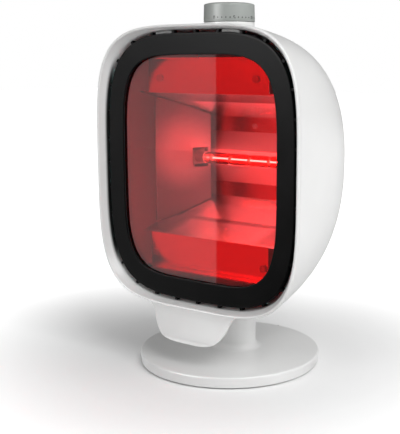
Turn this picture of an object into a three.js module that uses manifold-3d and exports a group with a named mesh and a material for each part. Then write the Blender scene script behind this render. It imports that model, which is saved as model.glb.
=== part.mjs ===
// Infrared heat therapy lamp for a table: a weighted round foot with a short column, and a deep white
// head that tilts back on it. The head holds a black ring with a red glass window, a folded mirror
// with a linear halogen lamp, a cooling fan behind it and a timer with its knob on top.
// Millimetres, +Z up, front of the lamp to -Y, origin on the table under the middle of its depth.

import * as THREE from 'three';
import * as BufferGeometryUtils from 'three/addons/utils/BufferGeometryUtils.js';
import Module from 'manifold-3d';

const wasm = await Module();
wasm.setup();

// Driving dimensions
const fit = 0.3;              // gap between pieces that seat on each other
const overrun = 2;            // how far a cutter runs past what it cuts
const running = 1;            // room round what is only slipped over or moves near by
const footRadius = 80;
const footHeight = 10.4;
const footWall = 2.8;
const columnRadius = 18.5;
const columnBack = 9;         // column axis behind the middle of the foot
const footForward = 6.4;      // middle of the foot before the middle of the lamp's whole depth
const tiltRise = 80;          // tilt axis above the table
const headHalfWidth = 104;
const headHalfHeight = 118.5;
const headDepth = 150;
const headFrontShare = 0.37667; // part of the head's depth that lies before the middle of the foot
const shellWall = 2.5;
const shellLip = 1.2;         // shell's thinned edge that laps over the rim
const rimBack = 16;           // front edge to the end of that lap
const rimInset = 2.7;         // front outline to the edge of the opening
const rimDepth = 3;           // outside of the rim, front edge to the parting line
const ringSink = 7.5;         // front edge to the face of the black ring
const ringThickness = 5.5;
const ringRebate = 1.4;
const windowInset = 24.8;     // front outline to the edge of the window, at the sides
const windowInsetTop = 24.2;  // and at the top and bottom
const gasketThickness = 1;
const glassThickness = 4;
const glassOverlap = 4;
const panelSink = 9.4;        // mirror's front lip to its flat panels
const knobRadius = 21.8;
const knobHeight = 15.9;
const collarProud = 2.8;      // top of the knob's collar above the head's front outline
const timerWidth = 42;
const lampRise = 1;           // lamp axis above the middle of the window
const lampBackRoom = 18.5;    // lamp axis before the back of the mirror
const lampLength = 117.6;
const lampRadius = 5.2;
const fanSize = 80;
const fanThickness = 15;
const fanBackRoom = 18;       // fan to the outside of the head's back
const fanGap = 8.5;           // mirror to fan

// Places in the head that follow from those sizes
const headFront = headDepth * headFrontShare;
const windowHalfWidth = headHalfWidth - windowInset;
const windowHalfHeight = headHalfHeight - windowInsetTop;
const ringBack = ringSink + ringThickness;
const glassFront = ringSink + ringRebate + gasketThickness + 2 * fit;
const glassBack = glassFront + glassThickness;
const mirrorLip = glassBack + 2 * fit + gasketThickness;
const reflectorFront = mirrorLip + panelSink;
const fanDepth = headDepth - fanBackRoom - fanThickness;
const troughBack = fanDepth - fanGap;
const lampDepth = troughBack - lampBackRoom;

// Outline of the head: a superellipse that turns rounder towards the back
const frontExponent = 4.1;
const backExponent = 2;
const backRoundness = 3.4;
const taperShare = 0.11;      // how much the sides draw in over the whole depth, before the round back
const backLiftShare = 0.034;  // how far the middle of the back lies above that of the front
const poleShare = 0.4;        // last ring before the round back's pole, in steps
const outlineSides = 44;
const innerSides = 32;

// Colours, roughness and metalness
const paint = (color, roughness, metalness = 0, more = {}) =>
  new THREE.MeshStandardMaterial({ color, roughness, metalness, ...more });
const whitePlastic = paint(0xe9e9e8, 0.35);
const blackPlastic = paint(0x1b1b1c, 0.45);
const greyPlastic = paint(0xa2a6a3, 0.4);
const clipPlastic = paint(0x8d8f8e, 0.5);
const redGlass = paint(0xc4161a, 0.08, 0, { transparent: true, opacity: 0.55 });
const quartz = paint(0xf2f2f2, 0.05, 0, { transparent: true, opacity: 0.3 });
const mirror = paint(0xd8d9da, 0.12, 1);
const steel = paint(0xb4b6b8, 0.3, 1);
const iron = paint(0x4a4b4d, 0.6, 0.8);
const tungsten = paint(0xfff1d8, 0.5, 0.2, { emissive: 0xffd9a0 });
const ceramic = paint(0xe6e2d8, 0.6);
const rubber = paint(0x26262a, 0.85);
const silicone = paint(0x5a1a18, 0.7);
const blackNylon = paint(0x202124, 0.55);

// Solids: three.js makes the shapes, manifold-3d only joins and cuts them
function merged(geometry) {
  const bare = geometry.clone();
  bare.deleteAttribute('normal');
  bare.deleteAttribute('uv');
  return BufferGeometryUtils.mergeVertices(bare, 1e-4);
}

function toSolid(geometry) {
  const closed = merged(geometry);
  const vertProperties = new Float32Array(closed.attributes.position.array);
  const triVerts = new Uint32Array(closed.index.array);
  return new wasm.Manifold(new wasm.Mesh({ numProp: 3, vertProperties, triVerts }));
}

function fromSolid(solid) {
  const { vertProperties, triVerts } = solid.getMesh();
  const geometry = new THREE.BufferGeometry();
  geometry.setAttribute('position', new THREE.BufferAttribute(vertProperties.slice(), 3));
  geometry.setIndex(new THREE.BufferAttribute(triVerts.slice(), 1));
  return geometry;
}

const join = (...geometries) => fromSolid(geometries.map(toSolid).reduce((a, b) => a.add(b)));
const cut = (body, ...tools) => fromSolid(tools.map(toSolid).reduce((a, b) => a.subtract(b), toSolid(body)));
const common = (a, b) => fromSolid(toSolid(a).intersect(toSolid(b)));

function addPiece(group, name, geometry, material) {
  const faceted = geometry.index ? geometry.toNonIndexed() : geometry.clone();
  faceted.deleteAttribute('normal');
  faceted.computeVertexNormals();
  const mesh = new THREE.Mesh(faceted, material);
  mesh.name = name;
  group.add(mesh);
  return mesh;
}

// A round bar from the origin along one axis
function rod(radius, length, axis, sides = 32, endRadius = radius) {
  const geometry = new THREE.CylinderGeometry(endRadius, radius, length, sides);
  geometry.translate(0, length / 2, 0);
  if (axis === 'z') geometry.rotateX(Math.PI / 2);
  if (axis === 'x') geometry.rotateZ(-Math.PI / 2);
  return geometry;
}

// A block from its lowest corner
function block(x, y, z, width, depth, height) {
  const geometry = new THREE.BoxGeometry(width, depth, height);
  geometry.translate(x + width / 2, y + depth / 2, z + height / 2);
  return geometry;
}

// A flat outline in x and z, from its front face back along +Y
function plateFacingFront(shape, thickness, curveSegments = 8) {
  const geometry = new THREE.ExtrudeGeometry(shape, { depth: thickness, bevelEnabled: false, curveSegments });
  geometry.rotateX(Math.PI / 2);
  geometry.translate(0, thickness, 0);
  return geometry;
}

// A section in depth and height, drawn out along X about the middle
function drawnAlongX(shape, width) {
  const geometry = new THREE.ExtrudeGeometry(shape, { depth: width, bevelEnabled: false });
  geometry.rotateY(Math.PI / 2);
  geometry.rotateX(Math.PI / 2);
  geometry.translate(-width / 2, 0, 0);
  return geometry;
}

const polygon = points => new THREE.Shape(points.map(([x, y]) => new THREE.Vector2(x, y)));

// A profile of radius and height turned about Z
function turned(points, sides = 48) {
  const geometry = new THREE.LatheGeometry(points.map(([r, z]) => new THREE.Vector2(r, z)), sides);
  geometry.rotateX(Math.PI / 2);
  return geometry;
}

// Rings of points joined into one closed body: end to end with caps, or round into a closed band
function loft(rings, isBand) {
  const sides = rings[0].length;
  const points = rings.flat();
  const triangles = [];
  const spans = isBand ? rings.length : rings.length - 1;
  for (let i = 0; i < spans; i++) {
    const near = i * sides;
    const far = ((i + 1) % rings.length) * sides;
    for (let j = 0; j < sides; j++) {
      const k = (j + 1) % sides;
      triangles.push(near + j, far + j, far + k, near + j, far + k, near + k);
    }
  }
  if (!isBand) {
    const last = (rings.length - 1) * sides;
    const middles = [rings[0], rings[rings.length - 1]].map(ring =>
      ring.reduce((sum, p) => sum.add(p), new THREE.Vector3()).divideScalar(sides));
    const front = points.push(middles[0]) - 1;
    const back = points.push(middles[1]) - 1;
    for (let j = 0; j < sides; j++) {
      const k = (j + 1) % sides;
      triangles.push(front, j, k, back, last + k, last + j);
    }
  }
  const geometry = new THREE.BufferGeometry().setFromPoints(points);
  geometry.setIndex(triangles);
  return facingOut(geometry);
}

// Turns every triangle over when the body was wound inside out
function facingOut(geometry) {
  const place = geometry.attributes.position;
  const index = geometry.index.array;
  const [a, b, c] = [new THREE.Vector3(), new THREE.Vector3(), new THREE.Vector3()];
  let volume = 0;
  for (let i = 0; i < index.length; i += 3) {
    a.fromBufferAttribute(place, index[i]);
    b.fromBufferAttribute(place, index[i + 1]);
    c.fromBufferAttribute(place, index[i + 2]);
    volume += a.dot(b.cross(c));
  }
  if (volume < 0) {
    for (let i = 0; i < index.length; i += 3) [index[i], index[i + 1]] = [index[i + 1], index[i]];
  }
  return geometry;
}

// One ring of a superellipse that stands at a depth
function outlineRing(halfWidth, halfHeight, exponent, depth, rise = 0, sides = outlineSides) {
  const ring = [];
  for (let i = 0; i < sides; i++) {
    const angle = (i / sides) * 2 * Math.PI;
    const across = Math.cos(angle);
    const up = Math.sin(angle);
    ring.push(new THREE.Vector3(
      halfWidth * Math.sign(across) * Math.abs(across) ** (2 / exponent), depth,
      rise + halfHeight * Math.sign(up) * Math.abs(up) ** (2 / exponent)));
  }
  return ring;
}

// Head outline at a share of the depth: half width, half height, exponent and middle
function headSection(depthShare, inset = 0) {
  const size = (1 - taperShare * depthShare) * (1 - depthShare ** backRoundness) ** (1 / backRoundness);
  return {
    halfWidth: (headHalfWidth - inset) * size,
    halfHeight: (headHalfHeight - inset) * size,
    exponent: frontExponent + (backExponent - frontExponent) * depthShare,
    rise: headDepth * backLiftShare * depthShare ** 2,
  };
}

// How far the head's lower side lies below its middle, at a depth and a distance to the side
function headDrop(depth, across, inset) {
  const { halfWidth, halfHeight, exponent, rise } = headSection(depth / headDepth, inset);
  return halfHeight * (1 - (across / halfWidth) ** exponent) ** (1 / exponent) - rise;
}

// The head's solid form from one depth to the round back, drawn in by an inset
function headForm(frontDepth, inset, rings, sides = outlineSides) {
  const depth = headDepth - inset;
  const startAngle = Math.asin((frontDepth / depth) ** (backRoundness / 2));
  const list = [];
  for (let i = 0; i < rings; i++) {
    const angle = startAngle + (Math.PI / 2 - startAngle) * i / (rings - 1 + poleShare);
    const depthShare = Math.sin(angle) ** (2 / backRoundness);
    const { halfWidth, halfHeight, exponent, rise } = headSection(depthShare, inset);
    list.push(outlineRing(halfWidth, halfHeight, exponent, depth * depthShare, rise, sides));
  }
  return loft(list, false);
}

// Groups: the lamp's origin is on the table under the middle of its depth, and the head's own
// frame has its origin at the middle of the front edge, with depth along +Y
const lamp = new THREE.Group();
lamp.position.set(0, -footForward, 0);
const foot = new THREE.Group();
const head = new THREE.Group();
lamp.add(foot, head);

// Foot: cover with the column in one moulding, iron weight, floor plate, rubber feet and gland
const padHeight = 0.9;
const floorGap = 0.3;
const floorThickness = 1.4;
const footEdgeRound = 1.6;
const footTaper = 0.6;
const footSkirt = 5;
const recessRadius = footRadius - footSkirt;
const flareRadius = 6;
const shoulderRise = 50;
const shoulderRound = 6;
const columnWall = 3;
const tongueHalfWidth = 15;
const tongueHalfDepth = 7.5;
const pinRadius = 3;
const pinFit = 0.35;
const cableRadius = 3.6;
const bossRadius = 4;
const bossInset = 17;
const bossReach = recessRadius - bossInset;
const bossCount = 3;
const screwRadius = 1.6;
const threadFit = 0.3;
const screwEndFit = 0.5;
const screwHeadRadius = 3.2;
const screwHeadHeight = 1.1;
const screwDepth = 5;
const glandFlangeRadius = 3.7;
const glandRadius = 3;
const glandBore = 2.3;
const glandFlange = 1.5;
const footFloor = padHeight + floorGap;
const recessTop = footHeight - footWall;
const floorTop = footFloor + floorThickness;
const glandRise = (footFloor + footHeight) / 2;
const footSides = 44;

const aroundFoot = (count, reach, turnShare = 0) => Array.from({ length: count }, (_, i) => {
  const angle = ((i + turnShare) / count) * 2 * Math.PI + Math.PI / 2;
  return [reach * Math.cos(angle), reach * Math.sin(angle)];
});
const bossPlaces = aroundFoot(bossCount, bossReach, 0.5);

function arcPoints(centreX, centreY, radius, from, to, steps) {
  return Array.from({ length: steps + 1 }, (_, i) => {
    const angle = from + (to - from) * (i / steps);
    return [centreX + radius * Math.cos(angle), centreY + radius * Math.sin(angle)];
  });
}

function footCover() {
  const quarter = Math.PI / 2;
  const disc = turned([
    [0, footFloor], [footRadius - footTaper, footFloor],
    ...arcPoints(footRadius - footEdgeRound, footHeight - footEdgeRound, footEdgeRound, 0, quarter, 3),
    [0, footHeight],
  ], footSides);
  const flareReach = columnRadius + flareRadius;
  const column = turned([
    [0, recessTop], [flareReach, recessTop],
    ...arcPoints(flareReach, footHeight + flareRadius, flareRadius, -quarter, -Math.PI, 4),
    ...arcPoints(columnRadius - shoulderRound, shoulderRise - shoulderRound, shoulderRound, 0, quarter, 4),
    [0, shoulderRise],
  ], 28).translate(0, columnBack, 0);
  const tongueTop = drawnAlongX(tongueSection(), 2 * tongueHalfWidth);
  const recess = turned([
    [0, footFloor - overrun], [recessRadius, footFloor - overrun], [recessRadius, recessTop], [0, recessTop],
  ], footSides);
  const bosses = bossPlaces.map(([x, y]) => rod(bossRadius, recessTop - floorTop + overrun / 2, 'z', 12)
    .translate(x, y, floorTop + fit));
  const bores = bossPlaces.map(([x, y]) =>
    rod(screwRadius + fit, screwDepth, 'z', 12).translate(x, y, floorTop));
  const boreLength = shoulderRise - shoulderRound - recessTop + overrun;
  const columnBore = rod(columnRadius - columnWall, boreLength, 'z', 24)
    .translate(0, columnBack, recessTop - overrun);
  const cableTop = tiltRise - pinRadius - columnWall - cableRadius;
  const cableBore = rod(cableRadius, cableTop - recessTop, 'z', 10).translate(0, columnBack, recessTop);
  const cableWindow = rod(cableRadius, tongueHalfDepth + overrun, 'y', 10)
    .translate(0, columnBack, cableTop - cableRadius);
  const pinBore = rod(pinRadius + pinFit, 2 * (tongueHalfWidth + overrun), 'x', 14)
    .translate(-tongueHalfWidth - overrun, columnBack, tiltRise);
  const glandHole = rod(glandRadius + fit, footRadius - recessRadius + 2 * overrun, 'y', 16)
    .translate(0, recessRadius - overrun, glandRise);
  const shell = cut(join(disc, column, tongueTop), recess);
  return cut(join(shell, ...bosses), ...bores, columnBore, cableBore, cableWindow, pinBore, glandHole);
}

// The flat tongue on the column, round about the tilt axis at its top
function tongueSection() {
  const round = arcPoints(columnBack, tiltRise, tongueHalfDepth, 0, Math.PI, 12);
  return polygon([
    [columnBack - tongueHalfDepth, shoulderRise - shoulderRound],
    [columnBack + tongueHalfDepth, shoulderRise - shoulderRound],
    ...round,
  ]);
}

function footWeight() {
  const disc = turned([
    [0, floorTop + fit], [recessRadius - running, floorTop + fit],
    [recessRadius - running, recessTop - fit], [0, recessTop - fit],
  ], footSides);
  const holes = bossPlaces.map(([x, y]) =>
    rod(bossRadius + running, footHeight, 'z', 12).translate(x, y, 0));
  const columnHole = rod(columnRadius - columnWall, footHeight, 'z', 20).translate(0, columnBack, 0);
  const glandBay = block(-glandFlangeRadius - running, recessRadius / 2, 0,
    2 * (glandFlangeRadius + running), recessRadius / 2 + overrun, footHeight);
  return cut(disc, ...holes, columnHole, glandBay);
}

function footFloorPlate() {
  const plate = turned([
    [0, footFloor], [recessRadius - fit, footFloor], [recessRadius - fit, floorTop], [0, floorTop],
  ], footSides);
  const holes = bossPlaces.map(([x, y]) =>
    rod(screwRadius + fit, footHeight, 'z', 12).translate(x, y, 0));
  const sinks = bossPlaces.map(([x, y]) =>
    rod(screwHeadRadius + fit, screwHeadHeight + floorGap, 'z', 20).translate(x, y, footFloor - floorGap));
  return cut(plate, ...holes, ...sinks);
}

// A screw with a flat head at the bottom, from the origin up
function screw(length) {
  return turned([
    [0, 0], [screwHeadRadius, 0], [screwHeadRadius, screwHeadHeight], [screwRadius, screwHeadHeight],
    [screwRadius, length], [0, length],
  ], 8);
}

addPiece(foot, 'foot_cover', footCover(), whitePlastic);
addPiece(foot, 'foot_weight', footWeight(), iron);
addPiece(foot, 'foot_floor', footFloorPlate(), blackPlastic);
bossPlaces.forEach(([x, y], i) => {
  const length = screwHeadHeight + screwDepth - floorThickness;
  addPiece(foot, `floor_screw_${i + 1}`, screw(length).translate(x, y, footFloor - fit), steel);
});
const padRadius = 8;
const padInset = 14;
const padReach = footRadius - padInset;
aroundFoot(4, padReach, 0.5).forEach(([x, y], i) => {
  addPiece(foot, `rubber_pad_${i + 1}`, rod(padRadius, padHeight, 'z', 18).translate(x, y, 0), rubber);
});
const glandLength = glandFlange + fit + footRadius - recessRadius;
const gland = turned([
  [glandBore, 0], [glandFlangeRadius, 0], [glandFlangeRadius, glandFlange],
  [glandRadius, glandFlange], [glandRadius, glandLength], [glandBore, glandLength], [glandBore, 0],
], 16);
gland.rotateX(Math.PI / 2);
addPiece(foot, 'cord_gland', gland.translate(0, footRadius + glandFlange + fit, glandRise), blackPlastic);

// Tilt joint: a steel pin through the tongue, friction washers and two brackets on the shell's floor
const washerRadius = 6.5;
const washerThickness = 1.2;
const bracketThickness = 2.2;
const bracketHalfDepth = 9;
const bracketFlange = 12;
const bracketPostHole = 4;
const pinHeadRadius = 5;
const pinHeadLength = 2.4;
const washerInner = tongueHalfWidth + fit;
const bracketInner = washerInner + washerThickness + fit;
const bracketOuter = bracketInner + bracketThickness;
const bracketDrop = 7.2;
const bracketClear = 1.5;
const bracketScrewReach = bracketOuter + bracketFlange / 2;
const pinDepth = headFront + columnBack;
const bracketFoot = bracketClear
  - headDrop(pinDepth + bracketHalfDepth, bracketOuter + bracketFlange, shellWall);
const pinHeight = bracketFoot + bracketDrop;
head.position.set(0, -headFront, tiltRise - pinHeight);

function tiltPin() {
  const start = -bracketOuter - fit - pinHeadLength;
  const headDisc = rod(pinHeadRadius, pinHeadLength, 'x', 14).translate(start, 0, 0);
  const shank = rod(pinRadius, 2 * bracketOuter + 2 * fit + 2 * pinHeadLength, 'x', 14)
    .translate(start, 0, 0);
  return join(headDisc, shank).translate(0, pinDepth, pinHeight);
}

function pinNut() {
  const hexagon = rod(pinHeadRadius, pinHeadLength - fit, 'x', 6);
  const bore = rod(pinRadius + fit, pinHeadLength + overrun, 'x', 14).translate(-overrun / 2, 0, 0);
  return cut(hexagon, bore).translate(bracketOuter + fit, pinDepth, pinHeight);
}

function washer(side) {
  const start = side > 0 ? washerInner : -washerInner - washerThickness;
  const disc = rod(washerRadius, washerThickness, 'x', 14);
  const bore = rod(pinRadius + fit, washerThickness + overrun, 'x', 14).translate(-overrun / 2, 0, 0);
  return cut(disc, bore).translate(start, pinDepth, pinHeight);
}

function bracket(side) {
  const cheekSection = polygon([
    [pinDepth - bracketHalfDepth, bracketFoot], [pinDepth + bracketHalfDepth, bracketFoot],
    ...arcPoints(pinDepth, pinHeight, bracketHalfDepth, 0, Math.PI, 12),
  ]);
  const middle = side * (bracketInner + bracketThickness / 2);
  const cheek = drawnAlongX(cheekSection, bracketThickness).translate(middle, 0, 0);
  const flangeStart = side > 0 ? bracketInner : -bracketOuter - bracketFlange;
  const flange = block(flangeStart, pinDepth - bracketHalfDepth, bracketFoot,
    bracketThickness + bracketFlange, 2 * bracketHalfDepth, bracketThickness);
  const bore = rod(pinRadius + fit, bracketThickness + overrun, 'x', 14)
    .translate(middle - bracketThickness / 2 - overrun / 2, pinDepth, pinHeight);
  const hole = rod(screwRadius + fit, bracketThickness + overrun, 'z', 12)
    .translate(side * bracketScrewReach, pinDepth, bracketFoot - overrun / 2);
  return cut(join(cheek, flange), bore, hole);
}

addPiece(head, 'tilt_pin', tiltPin(), steel);
addPiece(head, 'tilt_nut', pinNut(), steel);
for (const [side, label] of [[-1, 'left'], [1, 'right']]) {
  addPiece(head, `friction_washer_${label}`, washer(side), blackNylon);
  addPiece(head, `tilt_bracket_${label}`, bracket(side), steel);
  const screwTop = bracketFoot + bracketThickness + fit + screwHeadHeight;
  const length = screwHeadHeight + fit + bracketThickness + bracketPostHole - screwEndFit;
  const fixing = screw(length).rotateX(Math.PI).translate(side * bracketScrewReach, pinDepth, screwTop);
  addPiece(head, `bracket_screw_${label}`, fixing, steel);
}

// Rear shell: lofted dome with the knob collar, column slot, air slots, screw wells and inner posts
const collarRadius = 21.4;
const collarTop = headHalfHeight + collarProud;
const collarLength = 16.3;
const timerPadHeight = 6;
const timerPadRadius = 14;
const timerRoom = 15.3;
const timerTop = collarTop - timerRoom;
const bushingRadius = 5;
const slotClearance = 1.6;
const tiltRange = 40 * Math.PI / 180;
const slotCount = 9;
const slotPitch = 8.4;
const slotHeight = 3.8;
const grilleOver = 2;
const grilleRadius = fanSize / 2 + grilleOver;
const grilleRise = 4;
const rimPostRadius = 3.4;
const rimPostClear = 0.8;
const wellRadius = 3.7;
const wellWall = 1.8;
const wellClear = 1.5;
const wellReach = wellRadius + wellWall + wellClear;
const upperWellX = timerWidth / 2 + wellReach;
const lowerWellX = bracketOuter + bracketFlange + wellReach;
const wellPlaceZ = windowHalfHeight + glassOverlap + rimPostRadius + rimPostClear;
const wellSeat = 24;
const wellSeatThickness = 2.4;
const mirrorInset = 7.2;
const panelNotch = 10;
const panelInset = 4.3;
const mirrorHalfWidth = windowHalfWidth - mirrorInset;
const panelHalfWidth = mirrorHalfWidth - panelNotch;
const panelHalfHeight = windowHalfHeight - panelInset;
const postRadius = 3.6;
const upperPostEdge = 12.5;
const upperPostDrop = 16;
const lowerPostEdge = 4.5;
const lowerPostDrop = 10.5;
const upperPostX = panelHalfWidth - upperPostEdge;
const lowerPostX = panelHalfWidth - lowerPostEdge;
const upperPostZ = lampRise + panelHalfHeight - upperPostDrop;
const lowerPostZ = lampRise - panelHalfHeight + lowerPostDrop;
const sheet = 1;
const fanHoleInset = 4.3;
const fanHoleReach = fanSize / 2 - fanHoleInset;
const fanPostRadius = 3;
const bracketPostRadius = 5;
const knobDepth = headFront;
const mirrorScrewReach = 6;
const fanScrewReach = 5;
const fourCorners = (x, z, rise = 0) =>
  [[-x, rise + z], [x, rise + z], [-x, rise - z], [x, rise - z]];
const wellPlaces = [
  [-upperWellX, wellPlaceZ], [upperWellX, wellPlaceZ], [-lowerWellX, -wellPlaceZ], [lowerWellX, -wellPlaceZ],
];
const postPlaces = [
  [-upperPostX, upperPostZ], [upperPostX, upperPostZ], [-lowerPostX, lowerPostZ], [lowerPostX, lowerPostZ],
];
const fanPlaces = fourCorners(fanHoleReach, fanHoleReach, grilleRise);

// A level slot with round ends that runs back through the dome
function airSlot(halfLength, rise) {
  const radius = slotHeight / 2;
  const outline = [
    ...arcPoints(halfLength - radius, rise, radius, -Math.PI / 2, Math.PI / 2, 2),
    ...arcPoints(radius - halfLength, rise, radius, Math.PI / 2, Math.PI * 3 / 2, 2),
  ];
  return plateFacingFront(polygon(outline), headDepth - fanDepth + overrun).translate(0, fanDepth, 0);
}

// The room inside the shell's wall, drawn in by a clearance
const shellInside = clearance => headForm(rimDepth + fit - overrun, shellWall + clearance, 8, innerSides);

function rearShell() {
  const outside = headForm(rimDepth + fit, 0, 12);
  const inside = shellInside(0);
  const lapDepths = [rimDepth - overrun, rimDepth, rimBack + fit];
  const lap = loft(lapDepths.map(depth => headRing(depth, shellLip)), false);
  const bars = [
    rod(collarRadius, collarLength, 'z', 32).translate(0, knobDepth, collarTop - collarLength),
    ...wellPlaces.map(([x, z]) =>
      rod(wellRadius + wellWall, headDepth, 'y', 10).translate(x, wellSeat, z)),
  ];
  const posts = [
    rod(timerPadRadius, timerPadHeight, 'z', 16).translate(0, knobDepth, timerTop + fit),
    ...postPlaces.map(([x, z]) =>
      rod(postRadius, headDepth, 'y', 6).translate(x, reflectorFront + sheet + fit, z)),
    ...fanPlaces.map(([x, z]) =>
      rod(fanPostRadius, headDepth, 'y', 6).translate(x, fanDepth + fanThickness + fit, z)),
    ...[-1, 1].map(side => rod(bracketPostRadius, headHalfHeight, 'z', 8)
      .translate(side * bracketScrewReach, pinDepth, bracketFoot - fit - headHalfHeight)),
  ];
  const wells = wellPlaces.map(([x, z]) => rod(wellRadius, headDepth, 'y', 10)
    .translate(x, wellSeat + wellSeatThickness, z));
  const wellHoles = wellPlaces.map(([x, z]) => rod(screwRadius + fit, headDepth, 'y', 8)
    .translate(x, wellSeat - overrun, z));
  const postHoles = postPlaces.map(([x, z]) => rod(screwRadius + threadFit, mirrorScrewReach, 'y', 8)
    .translate(x, reflectorFront, z));
  const fanHoles = fanPlaces.map(([x, z]) => rod(screwRadius + threadFit, fanScrewReach, 'y', 8)
    .translate(x, fanDepth + fanThickness, z));
  const bracketHoles = [-1, 1].map(side => rod(screwRadius + threadFit, bracketPostHole, 'z', 8)
    .translate(side * bracketScrewReach, pinDepth, bracketFoot - bracketPostHole));
  const bushingHole = rod(bushingRadius + fit, collarTop - timerTop + 2 * overrun, 'z', 24)
    .translate(0, knobDepth, timerTop - overrun);
  const slotFront = pinDepth - tongueHalfDepth - slotClearance;
  const slotBack = pinDepth + tongueHalfDepth / Math.cos(tiltRange)
    + (headDrop(pinDepth, 0, 0) + pinHeight) * Math.tan(tiltRange) + slotClearance;
  const slotHalfWidth = tongueHalfWidth + slotClearance;
  const columnSlot = block(-slotHalfWidth, slotFront, -headHalfHeight - overrun,
    2 * slotHalfWidth, slotBack - slotFront, headHalfHeight + pinHeight);
  const airSlots = [];
  for (let i = 0; i < slotCount; i++) {
    const rise = (i - (slotCount - 1) / 2) * slotPitch;
    airSlots.push(airSlot(Math.sqrt(grilleRadius ** 2 - rise ** 2), rise + grilleRise));
  }
  const skin = cut(join(outside, bars[0]), inside, lap);
  const inner = posts.concat(bars.slice(1)).map(bar => common(bar, outside));
  return cut(join(skin, ...inner), ...wells, ...wellHoles, ...postHoles, ...fanHoles, ...bracketHoles,
    bushingHole, columnSlot, ...airSlots);
}

addPiece(head, 'rear_shell', rearShell(), whitePlastic);

// Front rim with the tab: a rounded band round the opening, posts for the shell's screws
const rimInsetTop = 2.4;
const rimCrest = 0.4;
const rimLand = 1.2;
const rimExponent = 4.09;
const ringExponent = 3.83;
const openingHalfWidth = headHalfWidth - rimInset;
const openingHalfHeight = headHalfHeight - rimInsetTop;
const innerInset = 5.3;
const innerInsetTop = 3.4;
const innerHalfWidth = headHalfWidth - innerInset;
const innerHalfHeight = headHalfHeight - innerInsetTop;
const innerTaper = 1.2;
const rimPostWeb = 2.4;
const shellScrewReach = 5;
const tabThickness = rimDepth - rimCrest;
const tabHalfWidth = 46;
const tabLength = 29.5;
const tabRootRise = 2.6;
const tabCurl = 7.9;
const tabCurlPower = 1.5;
const tabStraightShare = 0.037;
const tabShares = [
  [0, 1], [0.112, 0.943], [0.18, 0.898], [0.275, 0.863], [0.4, 0.835], [0.495, 0.807], [0.614, 0.763],
  [0.732, 0.709], [0.817, 0.652], [0.885, 0.598], [0.942, 0.507], [0.98, 0.391], [1, 0.25],
];

// The throat behind the opening, drawn in a little towards the back
function throatRing(depth, inset = 0) {
  const taper = innerTaper * (depth - ringSink) / (rimBack - ringSink);
  return outlineRing(innerHalfWidth - taper - inset, innerHalfHeight - taper - inset, ringExponent, depth);
}

// The head's outline at a depth, drawn in by an inset
function headRing(depth, inset) {
  const { halfWidth, halfHeight, exponent, rise } = headSection(depth / headDepth, inset);
  return outlineRing(halfWidth, halfHeight, exponent, depth, rise);
}

function rimBand() {
  const opening = [[0, rimCrest + rimLand], [rimCrest / 2, rimCrest / 2], [rimInset - rimLand, 0]];
  return loft([
    headRing(rimDepth, 0), headRing(rimCrest + rimLand, 0), headRing(rimCrest, rimCrest),
    ...opening.reverse().map(([offset, depth]) =>
      outlineRing(openingHalfWidth + offset, openingHalfHeight + offset, rimExponent, depth)),
    throatRing(ringSink), throatRing(rimBack),
    headRing(rimBack, shellLip + fit), headRing(rimDepth, shellLip + fit),
  ], true);
}

// The tab that tips the head: flared at the root, round below and curled forward to its lower edge
function tab() {
  return loft(tabShares.map(([drop, width]) => {
    const half = tabHalfWidth * width;
    const rise = tabRootRise - headHalfHeight - tabLength * drop;
    const bend = Math.max(0, drop - tabStraightShare) / (1 - tabStraightShare);
    const front = rimCrest - tabCurl * bend ** tabCurlPower;
    const back = front + tabThickness;
    return [[-half, front], [half, front], [half, back], [-half, back]]
      .map(([x, depth]) => new THREE.Vector3(x, depth, rise));
  }), false);
}

function frontRim() {
  const start = ringBack + 2 * fit;
  const length = wellSeat - fit - start;
  const posts = wellPlaces.map(([x, z]) => {
    const web = block(0, 0, -rimPostWeb / 2, 5 * rimPostRadius, length, rimPostWeb);
    web.rotateY(-Math.atan2(z, x));
    return join(rod(rimPostRadius, length, 'y', 10), web).translate(x, start, z);
  });
  const lapFill = loft([rimDepth, rimBack].map(depth => headRing(depth, shellLip + fit)), false);
  const room = join(shellInside(fit), lapFill);
  const throat = loft([-overrun, rimDepth + overrun].map(depth =>
    outlineRing(openingHalfWidth, openingHalfHeight, rimExponent, depth)), false);
  const holes = wellPlaces.map(([x, z]) =>
    rod(screwRadius + threadFit, wellSeat, 'y', 8).translate(x, rimBack, z));
  const trimmedTab = cut(tab(), throat);
  return cut(join(rimBand(), trimmedTab, ...posts.map(post => common(post, room))), ...holes);
}

addPiece(head, 'front_rim', frontRim(), whitePlastic);
wellPlaces.forEach(([x, z], i) => {
  const length = screwHeadHeight + fit + wellSeatThickness + shellScrewReach;
  const fixing = screw(length).rotateX(Math.PI / 2);
  const seat = wellSeat + wellSeatThickness + fit + screwHeadHeight;
  addPiece(head, `shell_screw_${i + 1}`, fixing.translate(x, seat, z), steel);
});

// Black ring with cooling gap: ribs bridge the gap to the rim all the way round
const ventGap = 3.1;
const ringBevel = 0.6;
const windowExponent = 4.45;
const ribPitch = 22.5;
const ribThickness = 2.2;
const ribDepth = 4.6;
const ribSink = 0.8;
const ribRoot = 1.2;
const ringHalfWidth = innerHalfWidth - ventGap;
const ringHalfHeight = innerHalfHeight - ventGap;
const ribPlaces = alongOutline(ringHalfWidth, ringHalfHeight, ringExponent, ribPitch);

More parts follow.
